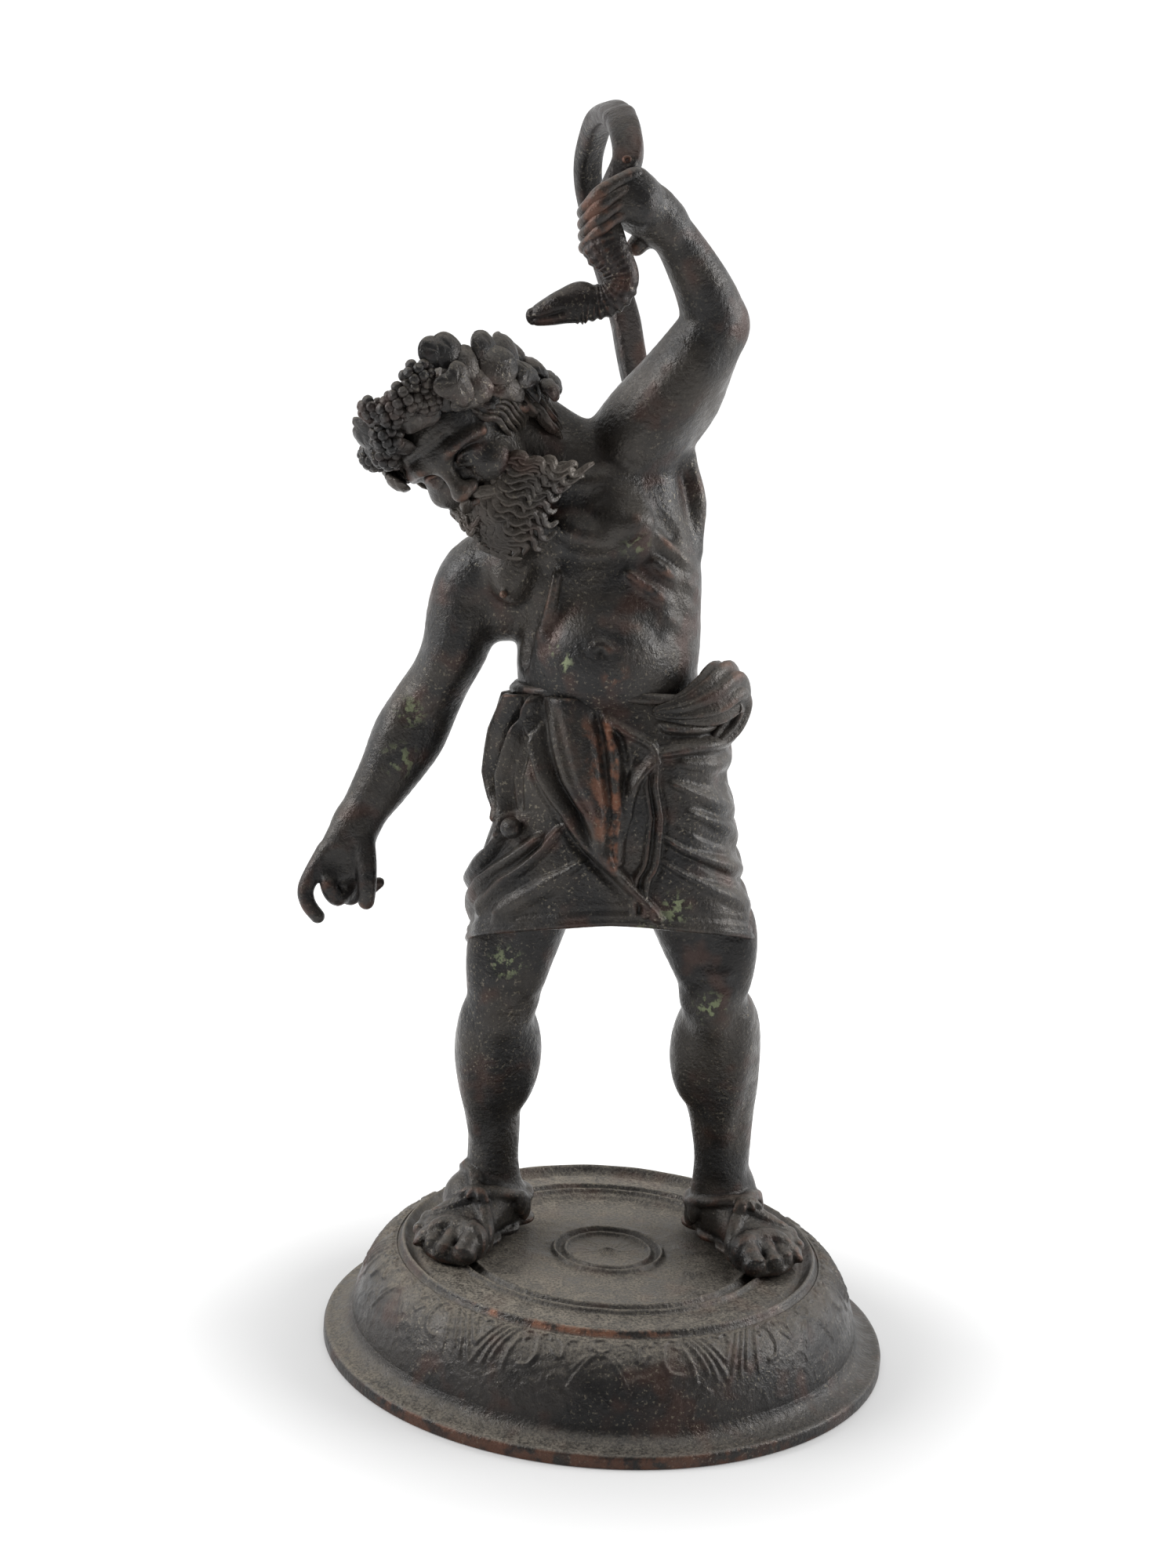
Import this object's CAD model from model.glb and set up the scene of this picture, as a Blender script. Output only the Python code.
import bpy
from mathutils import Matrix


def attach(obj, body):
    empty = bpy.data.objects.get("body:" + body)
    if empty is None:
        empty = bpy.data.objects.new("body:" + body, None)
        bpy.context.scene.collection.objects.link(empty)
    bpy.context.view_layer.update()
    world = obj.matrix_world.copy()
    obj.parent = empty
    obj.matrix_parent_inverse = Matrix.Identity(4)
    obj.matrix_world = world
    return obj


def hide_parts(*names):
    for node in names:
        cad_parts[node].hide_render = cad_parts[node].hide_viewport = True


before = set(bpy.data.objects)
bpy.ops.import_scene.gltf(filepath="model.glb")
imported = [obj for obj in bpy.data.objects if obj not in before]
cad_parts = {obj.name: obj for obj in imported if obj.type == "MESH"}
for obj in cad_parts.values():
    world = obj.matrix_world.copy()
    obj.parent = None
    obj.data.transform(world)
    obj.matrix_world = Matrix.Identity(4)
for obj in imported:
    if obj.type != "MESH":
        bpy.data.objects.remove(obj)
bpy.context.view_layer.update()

import math
import bpy
import numpy as np
from mathutils import Matrix

# A bronze table figure: an old silenus lifting a snake, on a round turned plinth.
# Figure points are in millimetres from the soles; plinth points are in millimetres from the ground.
millimetre = 0.001
soleHeight = 47.3
halo = 3  # how far round a shape its distance is worked out


def unit(vector):
    return np.asarray(vector, float) / np.linalg.norm(vector)


def measured(axis, x, y, z):
    return axis[0] * x + axis[1] * y + axis[2] * z


def fullTurn(count):
    return np.linspace(0, 2 * np.pi, count, endpoint=False)


def smoothPath(rows, perSpan=6):
    # a smooth curve through the rows, on each span half of
    # 2b + (c-a)t + (2a-5b+4c-d)t^2 + (3b-a-3c+d)t^3
    rows = np.array(rows, float)
    padded = np.vstack([rows[:1], rows, rows[-1:]])
    a, b, c, d = (padded[i:len(padded) - 3 + i][:, None, :] for i in range(4))
    t = (np.arange(perSpan) / perSpan)[None, :, None]
    curve = 0.5 * (2 * b + (c - a) * t + (2 * a - 5 * b + 4 * c - d) * t**2
                   + (3 * b - a - 3 * c + d) * t**3)
    return np.vstack([curve.reshape(-1, rows.shape[1]), rows[-1:]])


# Flesh is a block of space that holds each point's distance to the skin, in millimetres

def makeSpace(low, high, step):
    low = np.array(low, float)
    count = np.ceil((np.array(high, float) - low) / step).astype(int) + 1
    return {"low": low, "step": step, "values": np.full(count, 60.0, np.float32)}


def window(space, low, high):
    # the slices of the block between two corners, and the coordinates of the points in them
    shape = np.array(space["values"].shape)
    first = np.clip(np.floor((low - space["low"]) / space["step"]).astype(int), 0, shape - 1)
    last = np.clip(np.ceil((high - space["low"]) / space["step"]).astype(int) + 1, 1, shape)
    last = np.maximum(last, first + 1)
    axes = [(space["low"][i] + space["step"] * np.arange(first[i], last[i])).astype(np.float32)
            for i in range(3)]
    return first, last, (axes[0][:, None, None], axes[1][None, :, None], axes[2][None, None, :])


def softUnion(a, b, blend):
    # the smaller of two distances, rounded by blend where they are nearly equal
    overlap = np.maximum(blend - np.abs(a - b), 0) / blend
    return np.minimum(a, b) - overlap * overlap * blend * 0.25


def addShape(space, first, last, distance, blend, carve):
    view = tuple(slice(i, j) for i, j in zip(first, last))
    here = space["values"][view]
    merged = -softUnion(-here, distance, blend) if carve else softUnion(here, distance, blend)
    space["values"][view] = merged


def ovalDistance(u, v, w, ru, rv, rw):
    # distance to an ellipsoid: k0 (k0 - 1) / k1, k0 the length of p / r and k1 the length of p / r^2
    a, b, c = u / ru, v / rv, w / rw
    k0 = np.sqrt(a * a + b * b + c * c)
    a, b, c = a / ru, b / rv, c / rw
    k1 = np.sqrt(a * a + b * b + c * c)
    return (k0 * (k0 - 1) / np.maximum(k1, 1e-4)).astype(np.float32)


def addMass(space, centre, radii, front=(0, -1, 0), up=(0, 0, 1), blend=5.0, carve=False):
    # an ellipsoid whose radii run along its left, its front and its up
    front = unit(front)
    left = unit(np.cross(up, front))
    axes = np.array([left, front, np.cross(front, left)])
    centre = np.array(centre, float)
    reach = np.sqrt(((axes * np.array(radii)[:, None]) ** 2).sum(0)) + blend + halo
    first, last, (x, y, z) = window(space, centre - reach, centre + reach)
    x, y, z = x - centre[0], y - centre[1], z - centre[2]
    local = [measured(axis, x, y, z) for axis in axes]
    addShape(space, first, last, ovalDistance(*local, *radii), blend, carve)


def addLimb(space, rows, side=(1, 0, 0), perSpan=4, blend=4.0, carve=False):
    # a run of oval cones through rows of x, y, z, half width, half depth; the half width lies along side
    rows = smoothPath(rows, perSpan)
    centres = rows[:, :3]
    reach = rows[:, 3:].max() + blend + halo + 1
    first, last, (x, y, z) = window(space, centres.min(0) - reach, centres.max(0) + reach)
    near = np.full(last - first, 60.0, np.float32)
    across = np.array(side, float)
    for start, end in zip(rows, rows[1:]):
        length = np.linalg.norm(end[:3] - start[:3])
        if length < 1e-6:
            continue
        ahead = (end[:3] - start[:3]) / length
        square = unit(across - ahead * across.dot(ahead))
        margin = max(start[3], start[4], end[3], end[4]) + blend + halo
        low = np.minimum(start[:3], end[:3]) - margin
        high = np.maximum(start[:3], end[:3]) + margin
        begin, stop, (px, py, pz) = window(space, low, high)
        px, py, pz = px - start[0], py - start[1], pz - start[2]
        s, u, v = (measured(axis, px, py, pz) for axis in (ahead, square, np.cross(ahead, square)))
        t = np.clip(s / length, 0, 1)
        wide = start[3] + (end[3] - start[3]) * t
        deep = start[4] + (end[4] - start[4]) * t
        distance = ovalDistance(u, v, s - t * length, wide, deep, np.minimum(wide, deep))
        part = tuple(slice(i, j) for i, j in zip(np.maximum(begin - first, 0), stop - first))
        near[part] = np.minimum(near[part], distance)
    addShape(space, first, last, near, blend, carve)


def addTube(space, points, radii, blend=2.0, perSpan=4, carve=False):
    radii = np.broadcast_to(radii, len(points))
    addLimb(space, [(*p, r, r) for p, r in zip(points, radii)], (0.3, 0.2, 1), perSpan, blend, carve)


def addStrokes(space, strokes):
    # each stroke is a tube, its points and radii, or a mass, its centre and radii;
    # then come its blend, whether it is carved, and the up of a mass
    for place, radii, blend, *rest in strokes:
        carve, up = rest + [False, (0, 0, 1)][len(rest):]
        if isinstance(place, list):
            addTube(space, place, radii, blend, carve=carve)
        else:
            addMass(space, place, radii, up=up, blend=blend, carve=carve)


def readSpace(space, points):
    # the distance at any points, straight-line mixed from the eight nearest block points
    place = (points - space["low"]) / space["step"]
    cell = np.clip(np.floor(place).astype(int), 0, np.array(space["values"].shape) - 2)
    part = place - cell
    total = np.zeros(len(points))
    for corner in np.ndindex(2, 2, 2):
        share = np.prod(np.where(corner, part, 1 - part), axis=1)
        i, j, k = (cell + corner).T
        total += share * space["values"][i, j, k]
    return total


def spaceSlope(space, points):
    half = space["step"] * 0.75
    slope = np.empty_like(points)
    for axis in range(3):
        shift = np.zeros(3)
        shift[axis] = half
        slope[:, axis] = readSpace(space, points + shift) - readSpace(space, points - shift)
    return slope / (2 * half)


def onSkin(space, points, lift):
    # points moved along the slope of the distance until they lie lift millimetres off the skin
    points = np.array(points, float)
    for _ in range(5):
        slope = spaceSlope(space, points)
        steep = np.maximum((slope ** 2).sum(1), 0.3)
        points = points - slope * ((readSpace(space, points) - lift) / steep)[:, None]
    return points


def skinOf(space):
    # a net over the skin: one point in each cell that it crosses, at the mean of the edge crossings,
    # and one square across each block edge that it cuts
    values = space["values"]
    for axis in range(3):
        ends = [slice(None)] * 3
        for end in (0, -1):
            ends[axis] = end
            values[tuple(ends)] = np.maximum(values[tuple(ends)], 0.5)
    inside = values < 0
    nx, ny, nz = (n - 1 for n in values.shape)
    count = np.zeros((nx, ny, nz), np.int8)
    corners = list(np.ndindex(2, 2, 2))
    for i, j, k in corners:
        count += inside[i:i + nx, j:j + ny, k:k + nz]
    crossed = (count > 0) & (count < 8)
    cells = np.argwhere(crossed)
    number = np.full((nx, ny, nz), -1, np.int32)
    number[crossed] = np.arange(len(cells))
    level = {c: values[cells[:, 0] + c[0], cells[:, 1] + c[1], cells[:, 2] + c[2]] for c in corners}
    total, hits = np.zeros((len(cells), 3)), np.zeros(len(cells))
    for a in corners:
        for b in corners:
            if sum(b) - sum(a) == 1 and sum(abs(p - q) for p, q in zip(a, b)) == 1:
                cut = (level[a] < 0) != (level[b] < 0)
                t = np.where(cut, level[a] / np.where(cut, level[a] - level[b], 1), 0)
                point = np.array(a) + t[:, None] * (np.array(b) - np.array(a))
                total += point * cut[:, None]
                hits += cut
    points = space["low"] + space["step"] * (cells + total / hits[:, None])
    quads = []
    for axis in range(3):
        u, w = (axis + 1) % 3, (axis + 2) % 3
        lower = [slice(None)] * 3
        upper = [slice(None)] * 3
        lower[axis], upper[axis] = slice(0, -1), slice(1, None)
        leaving = np.argwhere(inside[tuple(lower)] != inside[tuple(upper)])
        leaving = leaving[(leaving[:, u] > 0) & (leaving[:, w] > 0)]
        leaving = leaving[(leaving[:, u] < values.shape[u] - 1) & (leaving[:, w] < values.shape[w] - 1)]
        ring = []
        for du, dw in ((-1, -1), (0, -1), (0, 0), (-1, 0)):
            cell = leaving.copy()
            cell[:, u] += du
            cell[:, w] += dw
            ring.append(number[cell[:, 0], cell[:, 1], cell[:, 2]])
        ring = np.stack(ring, 1)
        outward = inside[leaving[:, 0], leaving[:, 1], leaving[:, 2]]
        quads.append(np.where(outward[:, None], ring, ring[:, ::-1]))
    shell = {"points": points, "quads": np.vstack(quads), "tris": np.zeros((0, 3), int)}
    for _ in range(3):
        relaxed = evenedOut(shell, 1)
        slope = spaceSlope(space, relaxed)
        steep = np.maximum((slope ** 2).sum(1), 0.15)
        offset = np.clip(readSpace(space, relaxed) / steep, -1, 1)
        shell["points"] = relaxed - slope * offset[:, None]
    return shell


# Shells are points with squares and triangles, joined and measured as whole arrays

def edgesOf(shell):
    quads, tris = shell["quads"], shell["tris"]
    pairs = [quads[:, [i, (i + 1) % 4]] for i in range(4)] + [tris[:, [i, (i + 1) % 3]] for i in range(3)]
    return np.vstack(pairs)


def evenedOut(shell, times):
    # every point moved to halfway between itself and the mean of its neighbours
    edges = edgesOf(shell)
    points = shell["points"].copy()
    count = np.bincount(edges[:, 0], minlength=len(points)) + np.bincount(edges[:, 1], minlength=len(points))
    for _ in range(times):
        mean = np.empty_like(points)
        for axis in range(3):
            mean[:, axis] = (np.bincount(edges[:, 0], points[edges[:, 1], axis], len(points))
                             + np.bincount(edges[:, 1], points[edges[:, 0], axis], len(points)))
            mean[:, axis] /= np.maximum(count, 1)
        points = (points + mean) / 2
    return points


def normalsOf(shell):
    # the mean of the crossed diagonals of the faces round each point
    points, normals = shell["points"], np.zeros_like(shell["points"])
    for faces, middle, last in ((shell["quads"], 2, 3), (shell["tris"], 1, 2)):
        if len(faces):
            across = np.cross(points[faces[:, middle]] - points[faces[:, 0]],
                              points[faces[:, last]] - points[faces[:, 1]])
            for corner in range(faces.shape[1]):
                for axis in range(3):
                    normals[:, axis] += np.bincount(faces[:, corner], across[:, axis], len(points))
    return normals / np.maximum(np.linalg.norm(normals, axis=1), 1e-9)[:, None]


def reliefOf(shell, reach):
    # how far each point stands above its surroundings evened out over reach, in millimetres
    edges = edgesOf(shell)
    span = np.linalg.norm(shell["points"][edges[:, 0]] - shell["points"][edges[:, 1]], axis=1).mean()
    times = int(np.clip((reach / span) ** 2 * 1.5, 2, 40))
    smooth = evenedOut(shell, times)
    return ((shell["points"] - smooth) * normalsOf(shell)).sum(1)


def gridShell(points, loop=False):
    # a grid of points, rows along the first axis and a ring along the second, closed by a fan at each end,
    # or with its last row joined to its first where it is a loop
    rows, ring = points.shape[:2]
    here = np.arange(rows * ring).reshape(rows, ring)
    beside, after = np.roll(here, -1, axis=1), np.roll(here, -1, axis=0)
    quads = np.stack([here, beside, np.roll(beside, -1, axis=0), after], -1)
    quads = quads[:None if loop else -1].reshape(-1, 4)
    flat = points.reshape(-1, 3)
    tris = np.zeros((0, 3), int)
    if not loop:
        flat = np.vstack([flat, points[0].mean(0), points[-1].mean(0)])
        pole, tail = rows * ring, rows * ring + 1
        tris = np.vstack([np.stack([beside[0], here[0], np.full(ring, pole)], 1),
                          np.stack([here[-1], beside[-1], np.full(ring, tail)], 1)])
    return {"points": flat, "quads": quads, "tris": tris}


def joined(shells):
    points, quads, tris, start = [], [], [], 0
    for shell in shells:
        points.append(shell["points"])
        quads.append(shell["quads"] + start)
        tris.append(shell["tris"] + start)
        start += len(shell["points"])
    return {"points": np.vstack(points), "quads": np.vstack(quads), "tris": np.vstack(tris)}


def flipped(shell):
    return {**shell, "quads": shell["quads"][:, ::-1], "tris": shell["tris"][:, ::-1]}


def facingOut(shell):
    # turned so that its faces point away from its own middle line
    a, b, c = (shell["points"][shell["quads"][:, i]] for i in range(3))
    volume = (np.cross(a, b) * c).sum()
    d = shell["points"][shell["quads"][:, 3]]
    volume += (np.cross(a, c) * d).sum()
    return shell if volume > 0 else flipped(shell)


def sweep(rows, side, section, perSpan=6):
    # a section carried along a smooth path: row centre + across * width * u + through * depth * v
    # rows are x, y, z, half width, half depth; section(s) gives u and v, s being millimetres along
    rows = smoothPath(rows, perSpan)
    centres = rows[:, :3]
    ahead = np.gradient(centres, axis=0)
    ahead /= np.linalg.norm(ahead, axis=1)[:, None]
    across = np.empty_like(ahead)
    current = np.array(side, float)
    for i, direction in enumerate(ahead):
        current = unit(current - direction * current.dot(direction))
        across[i] = current
    through = np.cross(ahead, across)
    s = np.concatenate([[0], np.cumsum(np.linalg.norm(np.diff(centres, axis=0), axis=1))])
    u, v = section(s[:, None])
    return (centres[:, None] + across[:, None] * (rows[:, 3:4] * u)[..., None]
            + through[:, None] * (rows[:, 4:5] * v)[..., None])


def sphereShell(centre, radius, rows=14, ring=24):
    v = np.linspace(0.1, np.pi - 0.1, rows)[:, None]
    turn = fullTurn(ring)[None, :]
    directions = np.stack([np.sin(v) * np.cos(turn), np.sin(v) * np.sin(turn), np.cos(v) + 0 * turn], -1)
    return facingOut(gridShell(centre + radius * directions))


def ropeSection(strands, depth, turnsPerLength, points):
    # a circle whose radius swells by depth on each strand, the strands turning along the sweep
    turn = fullTurn(points)[None, :]

    def section(s):
        radius = 1 + depth * (np.abs(np.cos(strands / 2 * turn + s * turnsPerLength)) * 2 - 1)
        return radius * np.cos(turn), radius * np.sin(turn)
    return section


def domedRows(rows, angles):
    # smaller rows past each end, so that the sweep closes as a dome
    rows = [np.array(row, float) for row in rows]
    for end, inner in ((0, 1), (-1, -2)):
        tip, reach = rows[end], min(rows[end][3:5])
        outward = unit(tip[:3] - rows[inner][:3])
        extra = [np.concatenate([tip[:3] + outward * reach * math.sin(math.radians(a)),
                                 tip[3:5] * math.cos(math.radians(a))]) for a in angles]
        rows = extra[::-1] + rows if end == 0 else rows + extra
    return rows


def domedShell(rows, side, section, perSpan, angles=(30, 55, 75, 87)):
    return facingOut(gridShell(sweep(domedRows(rows, angles), side, section, perSpan)))


def linear(hexText):
    # an sRGB hex colour as linear red, green, blue and 1
    parts = [int(hexText[i:i + 2], 16) / 255 for i in (1, 3, 5)]
    return (*[p / 12.92 if p <= 0.04045 else ((p + 0.055) / 1.055) ** 2.4 for p in parts], 1.0)


def addNode(tree, kind, inputs=None, **settings):
    # a node with its settings, and its inputs set or linked
    node = tree.nodes.new(kind)
    for name, value in settings.items():
        setattr(node, name, value)
    for key, value in (inputs or {}).items():
        if isinstance(value, bpy.types.NodeSocket):
            tree.links.new(value, node.inputs[key])
        else:
            node.inputs[key].default_value = value
    return node


# Cast bronze with a brown-black chemical patina, waxed to a satin. It reads as near-black brown
# with broad soft highlights, rubbed to red copper on high edges, with green salts and pale dust.
bronzeFinish = {
    "patina": "#34302c", "blackPatina": "#1f1e1e", "redBrown": "#3a2822", "copper": "#7e523c",
    "verdigris": "#767f5e", "dust": "#766f64", "specks": "#8a8272", "hollow": "#141211",
    "roughness": 0.36, "metallic": 0.42, "specular": 0.42,
}


def patinatedBronze(name, finish, dustAmount=0.28, wearAmount=1.0):
    material = bpy.data.materials.new(name)
    material.use_nodes = True
    tree = material.node_tree
    tree.nodes.clear()

    def noise(size, detail=3.0, roughness=0.55):
        # size is the blotch or grain in millimetres
        return addNode(tree, "ShaderNodeTexNoise", {"Vector": place, "Scale": 1000 / size / 1.6, "Detail": detail,
                                                    "Roughness": roughness}).outputs["Fac"]

    def ranged(value, low, high, toLow=0.0, toHigh=1.0):
        return addNode(tree, "ShaderNodeMapRange", {"Value": value, "From Min": low, "From Max": high, "To Min": toLow,
                                                    "To Max": toHigh}, interpolation_type="SMOOTHSTEP").outputs[0]

    def sums(operation, a, b):
        return addNode(tree, "ShaderNodeMath", {0: a, 1: b}, operation=operation,
                       use_clamp=operation != "ADD").outputs[0]

    def mixed(amount, a, b):
        return addNode(tree, "ShaderNodeMix", {0: amount, 6: a, 7: b}, data_type="RGBA").outputs[2]

    def carried(label):
        return addNode(tree, "ShaderNodeAttribute", attribute_name=label).outputs["Fac"]

    place = addNode(tree, "ShaderNodeTexCoord").outputs["Object"]
    normal = addNode(tree, "ShaderNodeNewGeometry").outputs["Normal"]
    facing = addNode(tree, "ShaderNodeSeparateXYZ", {0: normal}).outputs["Z"]
    relief, green, rubbed, dusty = map(carried, ("relief", "verdigris", "copper", "dust"))
    blotch, mottle, grain = noise(22), noise(5, 4.0), noise(1.3, 3.0, 0.6)

    colour = mixed(ranged(blotch, 0.38, 0.62), linear(finish["patina"]), linear(finish["blackPatina"]))
    colour = mixed(sums("MULTIPLY", ranged(noise(13, 2.0), 0.52, 0.7), 0.75), colour, linear(finish["redBrown"]))
    edge = sums("MULTIPLY", ranged(relief, 0.6, 0.95), ranged(mottle, 0.42, 0.68))
    colour = mixed(sums("MULTIPLY", edge, 0.3 * wearAmount), colour, linear(finish["copper"]))
    patch = sums("MULTIPLY", ranged(rubbed, 0.15, 0.7), ranged(mottle, 0.4, 0.6))
    colour = mixed(sums("MULTIPLY", patch, 0.7), colour, linear(finish["copper"]))
    salts = sums("MULTIPLY", ranged(green, 0.1, 0.8), ranged(noise(2.4, 4.0), 0.5, 0.6))
    colour = mixed(sums("MULTIPLY", salts, 0.8), colour, linear(finish["verdigris"]))
    # pale specks under a millimetre across, drawn a little coarse so that they show
    crowded = ranged(noise(30, 2.0), 0.4, 0.62, 0.08, 0.42)
    speck = sums("MULTIPLY", ranged(noise(0.9, 2.0), 0.58, 0.72), crowded)
    colour = mixed(speck, colour, linear(finish["specks"]))
    # the hollows stay dark, and a grainy dust lies on what faces up
    colour = mixed(ranged(relief, 0.47, 0.12, 0.0, 0.8), colour, linear(finish["hollow"]))
    lying = sums("MULTIPLY", sums("MULTIPLY", ranged(facing, 0.35, 1.0), dusty), ranged(mottle, 0.25, 0.75, 0.5, 1.0))
    settled = sums("MULTIPLY", lying, ranged(relief, 0.2, 0.52, 0.25, 1.0))
    dusted = sums("MULTIPLY", settled, ranged(noise(0.8, 2.0, 0.7), 0.3, 0.68, 0.3, 1.25))
    dusted = sums("MULTIPLY", dusted, dustAmount)
    colour = mixed(dusted, colour, linear(finish["dust"]))

    rough = sums("ADD", ranged(mottle, 0.3, 0.7, finish["roughness"] - 0.1, finish["roughness"] + 0.12),
                 sums("MULTIPLY", dusted, 0.6))
    rough = sums("ADD", rough, sums("MULTIPLY", salts, 0.3))
    metal = ranged(sums("MAXIMUM", dusted, salts), 0.0, 0.8, finish["metallic"], 0.05)
    # the pitted skin of the casting
    height = sums("ADD", sums("MULTIPLY", grain, 0.5), sums("MULTIPLY", noise(2.6, 5.0, 0.7), 0.65))
    bump = addNode(tree, "ShaderNodeBump", {"Strength": 0.75, "Distance": 0.0009, "Height": height}).outputs["Normal"]
    shader = addNode(tree, "ShaderNodeBsdfPrincipled", {"Base Color": colour, "Roughness": rough, "Metallic": metal,
                                                        "Normal": bump, "Specular IOR Level": finish["specular"]})
    addNode(tree, "ShaderNodeOutputMaterial", {"Surface": shader.outputs["BSDF"]})
    return material


# Green salts and rubbed copper on the figure: x, y, z, radius, strength
verdigrisSpots = [(-37, -39, 295.4, 5, 0.9), (-41, -35.4, 300.2, 4, 0.9), (-56, -18, 148, 9, 1.0),
                  (-62, -12, 146, 7, 0.7),
                  (-10, -28, 350, 8, 0.5), (40, -22, 132, 9, 0.8), (5, -42, 172, 8, 0.6), (-108, -12, 262, 8, 0.6),
                  (-112, -14, 240, 9, 0.6), (20, -44, 186, 8, 0.7)]
copperSpots = [(-14.4, -41.6, 291.4, 8, 0.5), (-67.5, -24, 322.7, 3, 0.5), (-10.3, -29, 362, 3, 0.55),
               (-40, -36, 318, 3, 0.5), (-8, -34, 312, 6, 0.3)]


def nearSpots(points, spots):
    total = np.zeros(len(points))
    for x, y, z, radius, strength in spots:
        away = np.linalg.norm(points - (x, y, z), axis=1) / radius
        total = np.maximum(total, strength * np.clip(1.4 - away, 0, 1))
    return total


def buildPiece(name, shell, node, material, reach=3.0, gain=0.6, copper=0.0, dust=1.0):
    points, quads, tris = shell["points"], shell["quads"], shell["tris"]
    lift = 0 if node == "plinth" else soleHeight
    mesh = bpy.data.meshes.new(name)
    mesh.vertices.add(len(points))
    mesh.vertices.foreach_set("co", ((points + (0, 0, lift)) * millimetre).astype(np.float32).ravel())
    corners = np.concatenate([quads.ravel(), tris.ravel()]).astype(np.int32)
    starts = np.concatenate([np.arange(len(quads)) * 4, len(quads) * 4 + np.arange(len(tris)) * 3]).astype(np.int32)
    mesh.loops.add(len(corners))
    mesh.loops.foreach_set("vertex_index", corners)
    mesh.polygons.add(len(starts))
    mesh.polygons.foreach_set("loop_start", starts)
    mesh.polygons.foreach_set("use_smooth", np.ones(len(starts), bool))
    mesh.update(calc_edges=True)
    mesh.validate()
    facts = {"relief": np.clip(0.5 + reliefOf(shell, reach) * gain, 0, 1),
             "verdigris": nearSpots(points, verdigrisSpots),
             "copper": np.maximum(nearSpots(points, copperSpots), copper),
             "dust": dust * np.ones(len(points))}
    for label, values in facts.items():
        mesh.attributes.new(label, "FLOAT", "POINT").data.foreach_set("value", values.astype(np.float32))
    piece = bpy.data.objects.new(name, mesh)
    bpy.context.scene.collection.objects.link(piece)
    mesh.materials.append(material)
    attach(piece, "root")
    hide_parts(node)
    print(name, "made,", 2 * len(quads) + len(tris), "triangles")


# The camera is a 61 mm lens a little above the head, looking down at the figure
cameraPlace = {"lens": 61.2, "distance": 1.215, "height": 0.566, "pitch": 13.32, "roll": 3.72, "yaw": -1.15}


def makeCamera(place):
    data = bpy.data.cameras.new("camera")
    data.lens = place["lens"]
    data.sensor_width = 36
    data.clip_start = 0.05
    camera = bpy.data.objects.new("camera", data)
    bpy.context.scene.collection.objects.link(camera)
    camera.matrix_world = (Matrix.Translation((0, -place["distance"], place["height"]))
                           @ Matrix.Rotation(math.radians(-place["yaw"]), 4, "Z")
                           @ Matrix.Rotation(math.radians(90 - place["pitch"]), 4, "X")
                           @ Matrix.Rotation(math.radians(place["roll"]), 4, "Z"))
    bpy.context.scene.camera = camera


makeCamera(cameraPlace)
figureBronze = patinatedBronze("patinatedCastBronzeFigure", bronzeFinish)
plinthBronze = patinatedBronze("patinatedTurnedBronzePlinth", {**bronzeFinish, "patina": "#2f2c2a"}, 0.95)
wreathBronze = patinatedBronze("patinatedCastBronzeWreath", {**bronzeFinish, "patina": "#3c3733"}, 0.5, 0.8)
hairFinish = {**bronzeFinish, "patina": "#4a443e", "blackPatina": "#2e2a27"}
hairBronze = patinatedBronze("patinatedCastBronzeHair", hairFinish, 0.66, 0.6)
snakeFinish = {**bronzeFinish, "patina": "#292423", "blackPatina": "#1a1817", "specular": 0.26}
snakeBronze = patinatedBronze("patinatedCastBronzeSnake", snakeFinish, 0.16)
print("camera and finishes made")

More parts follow.
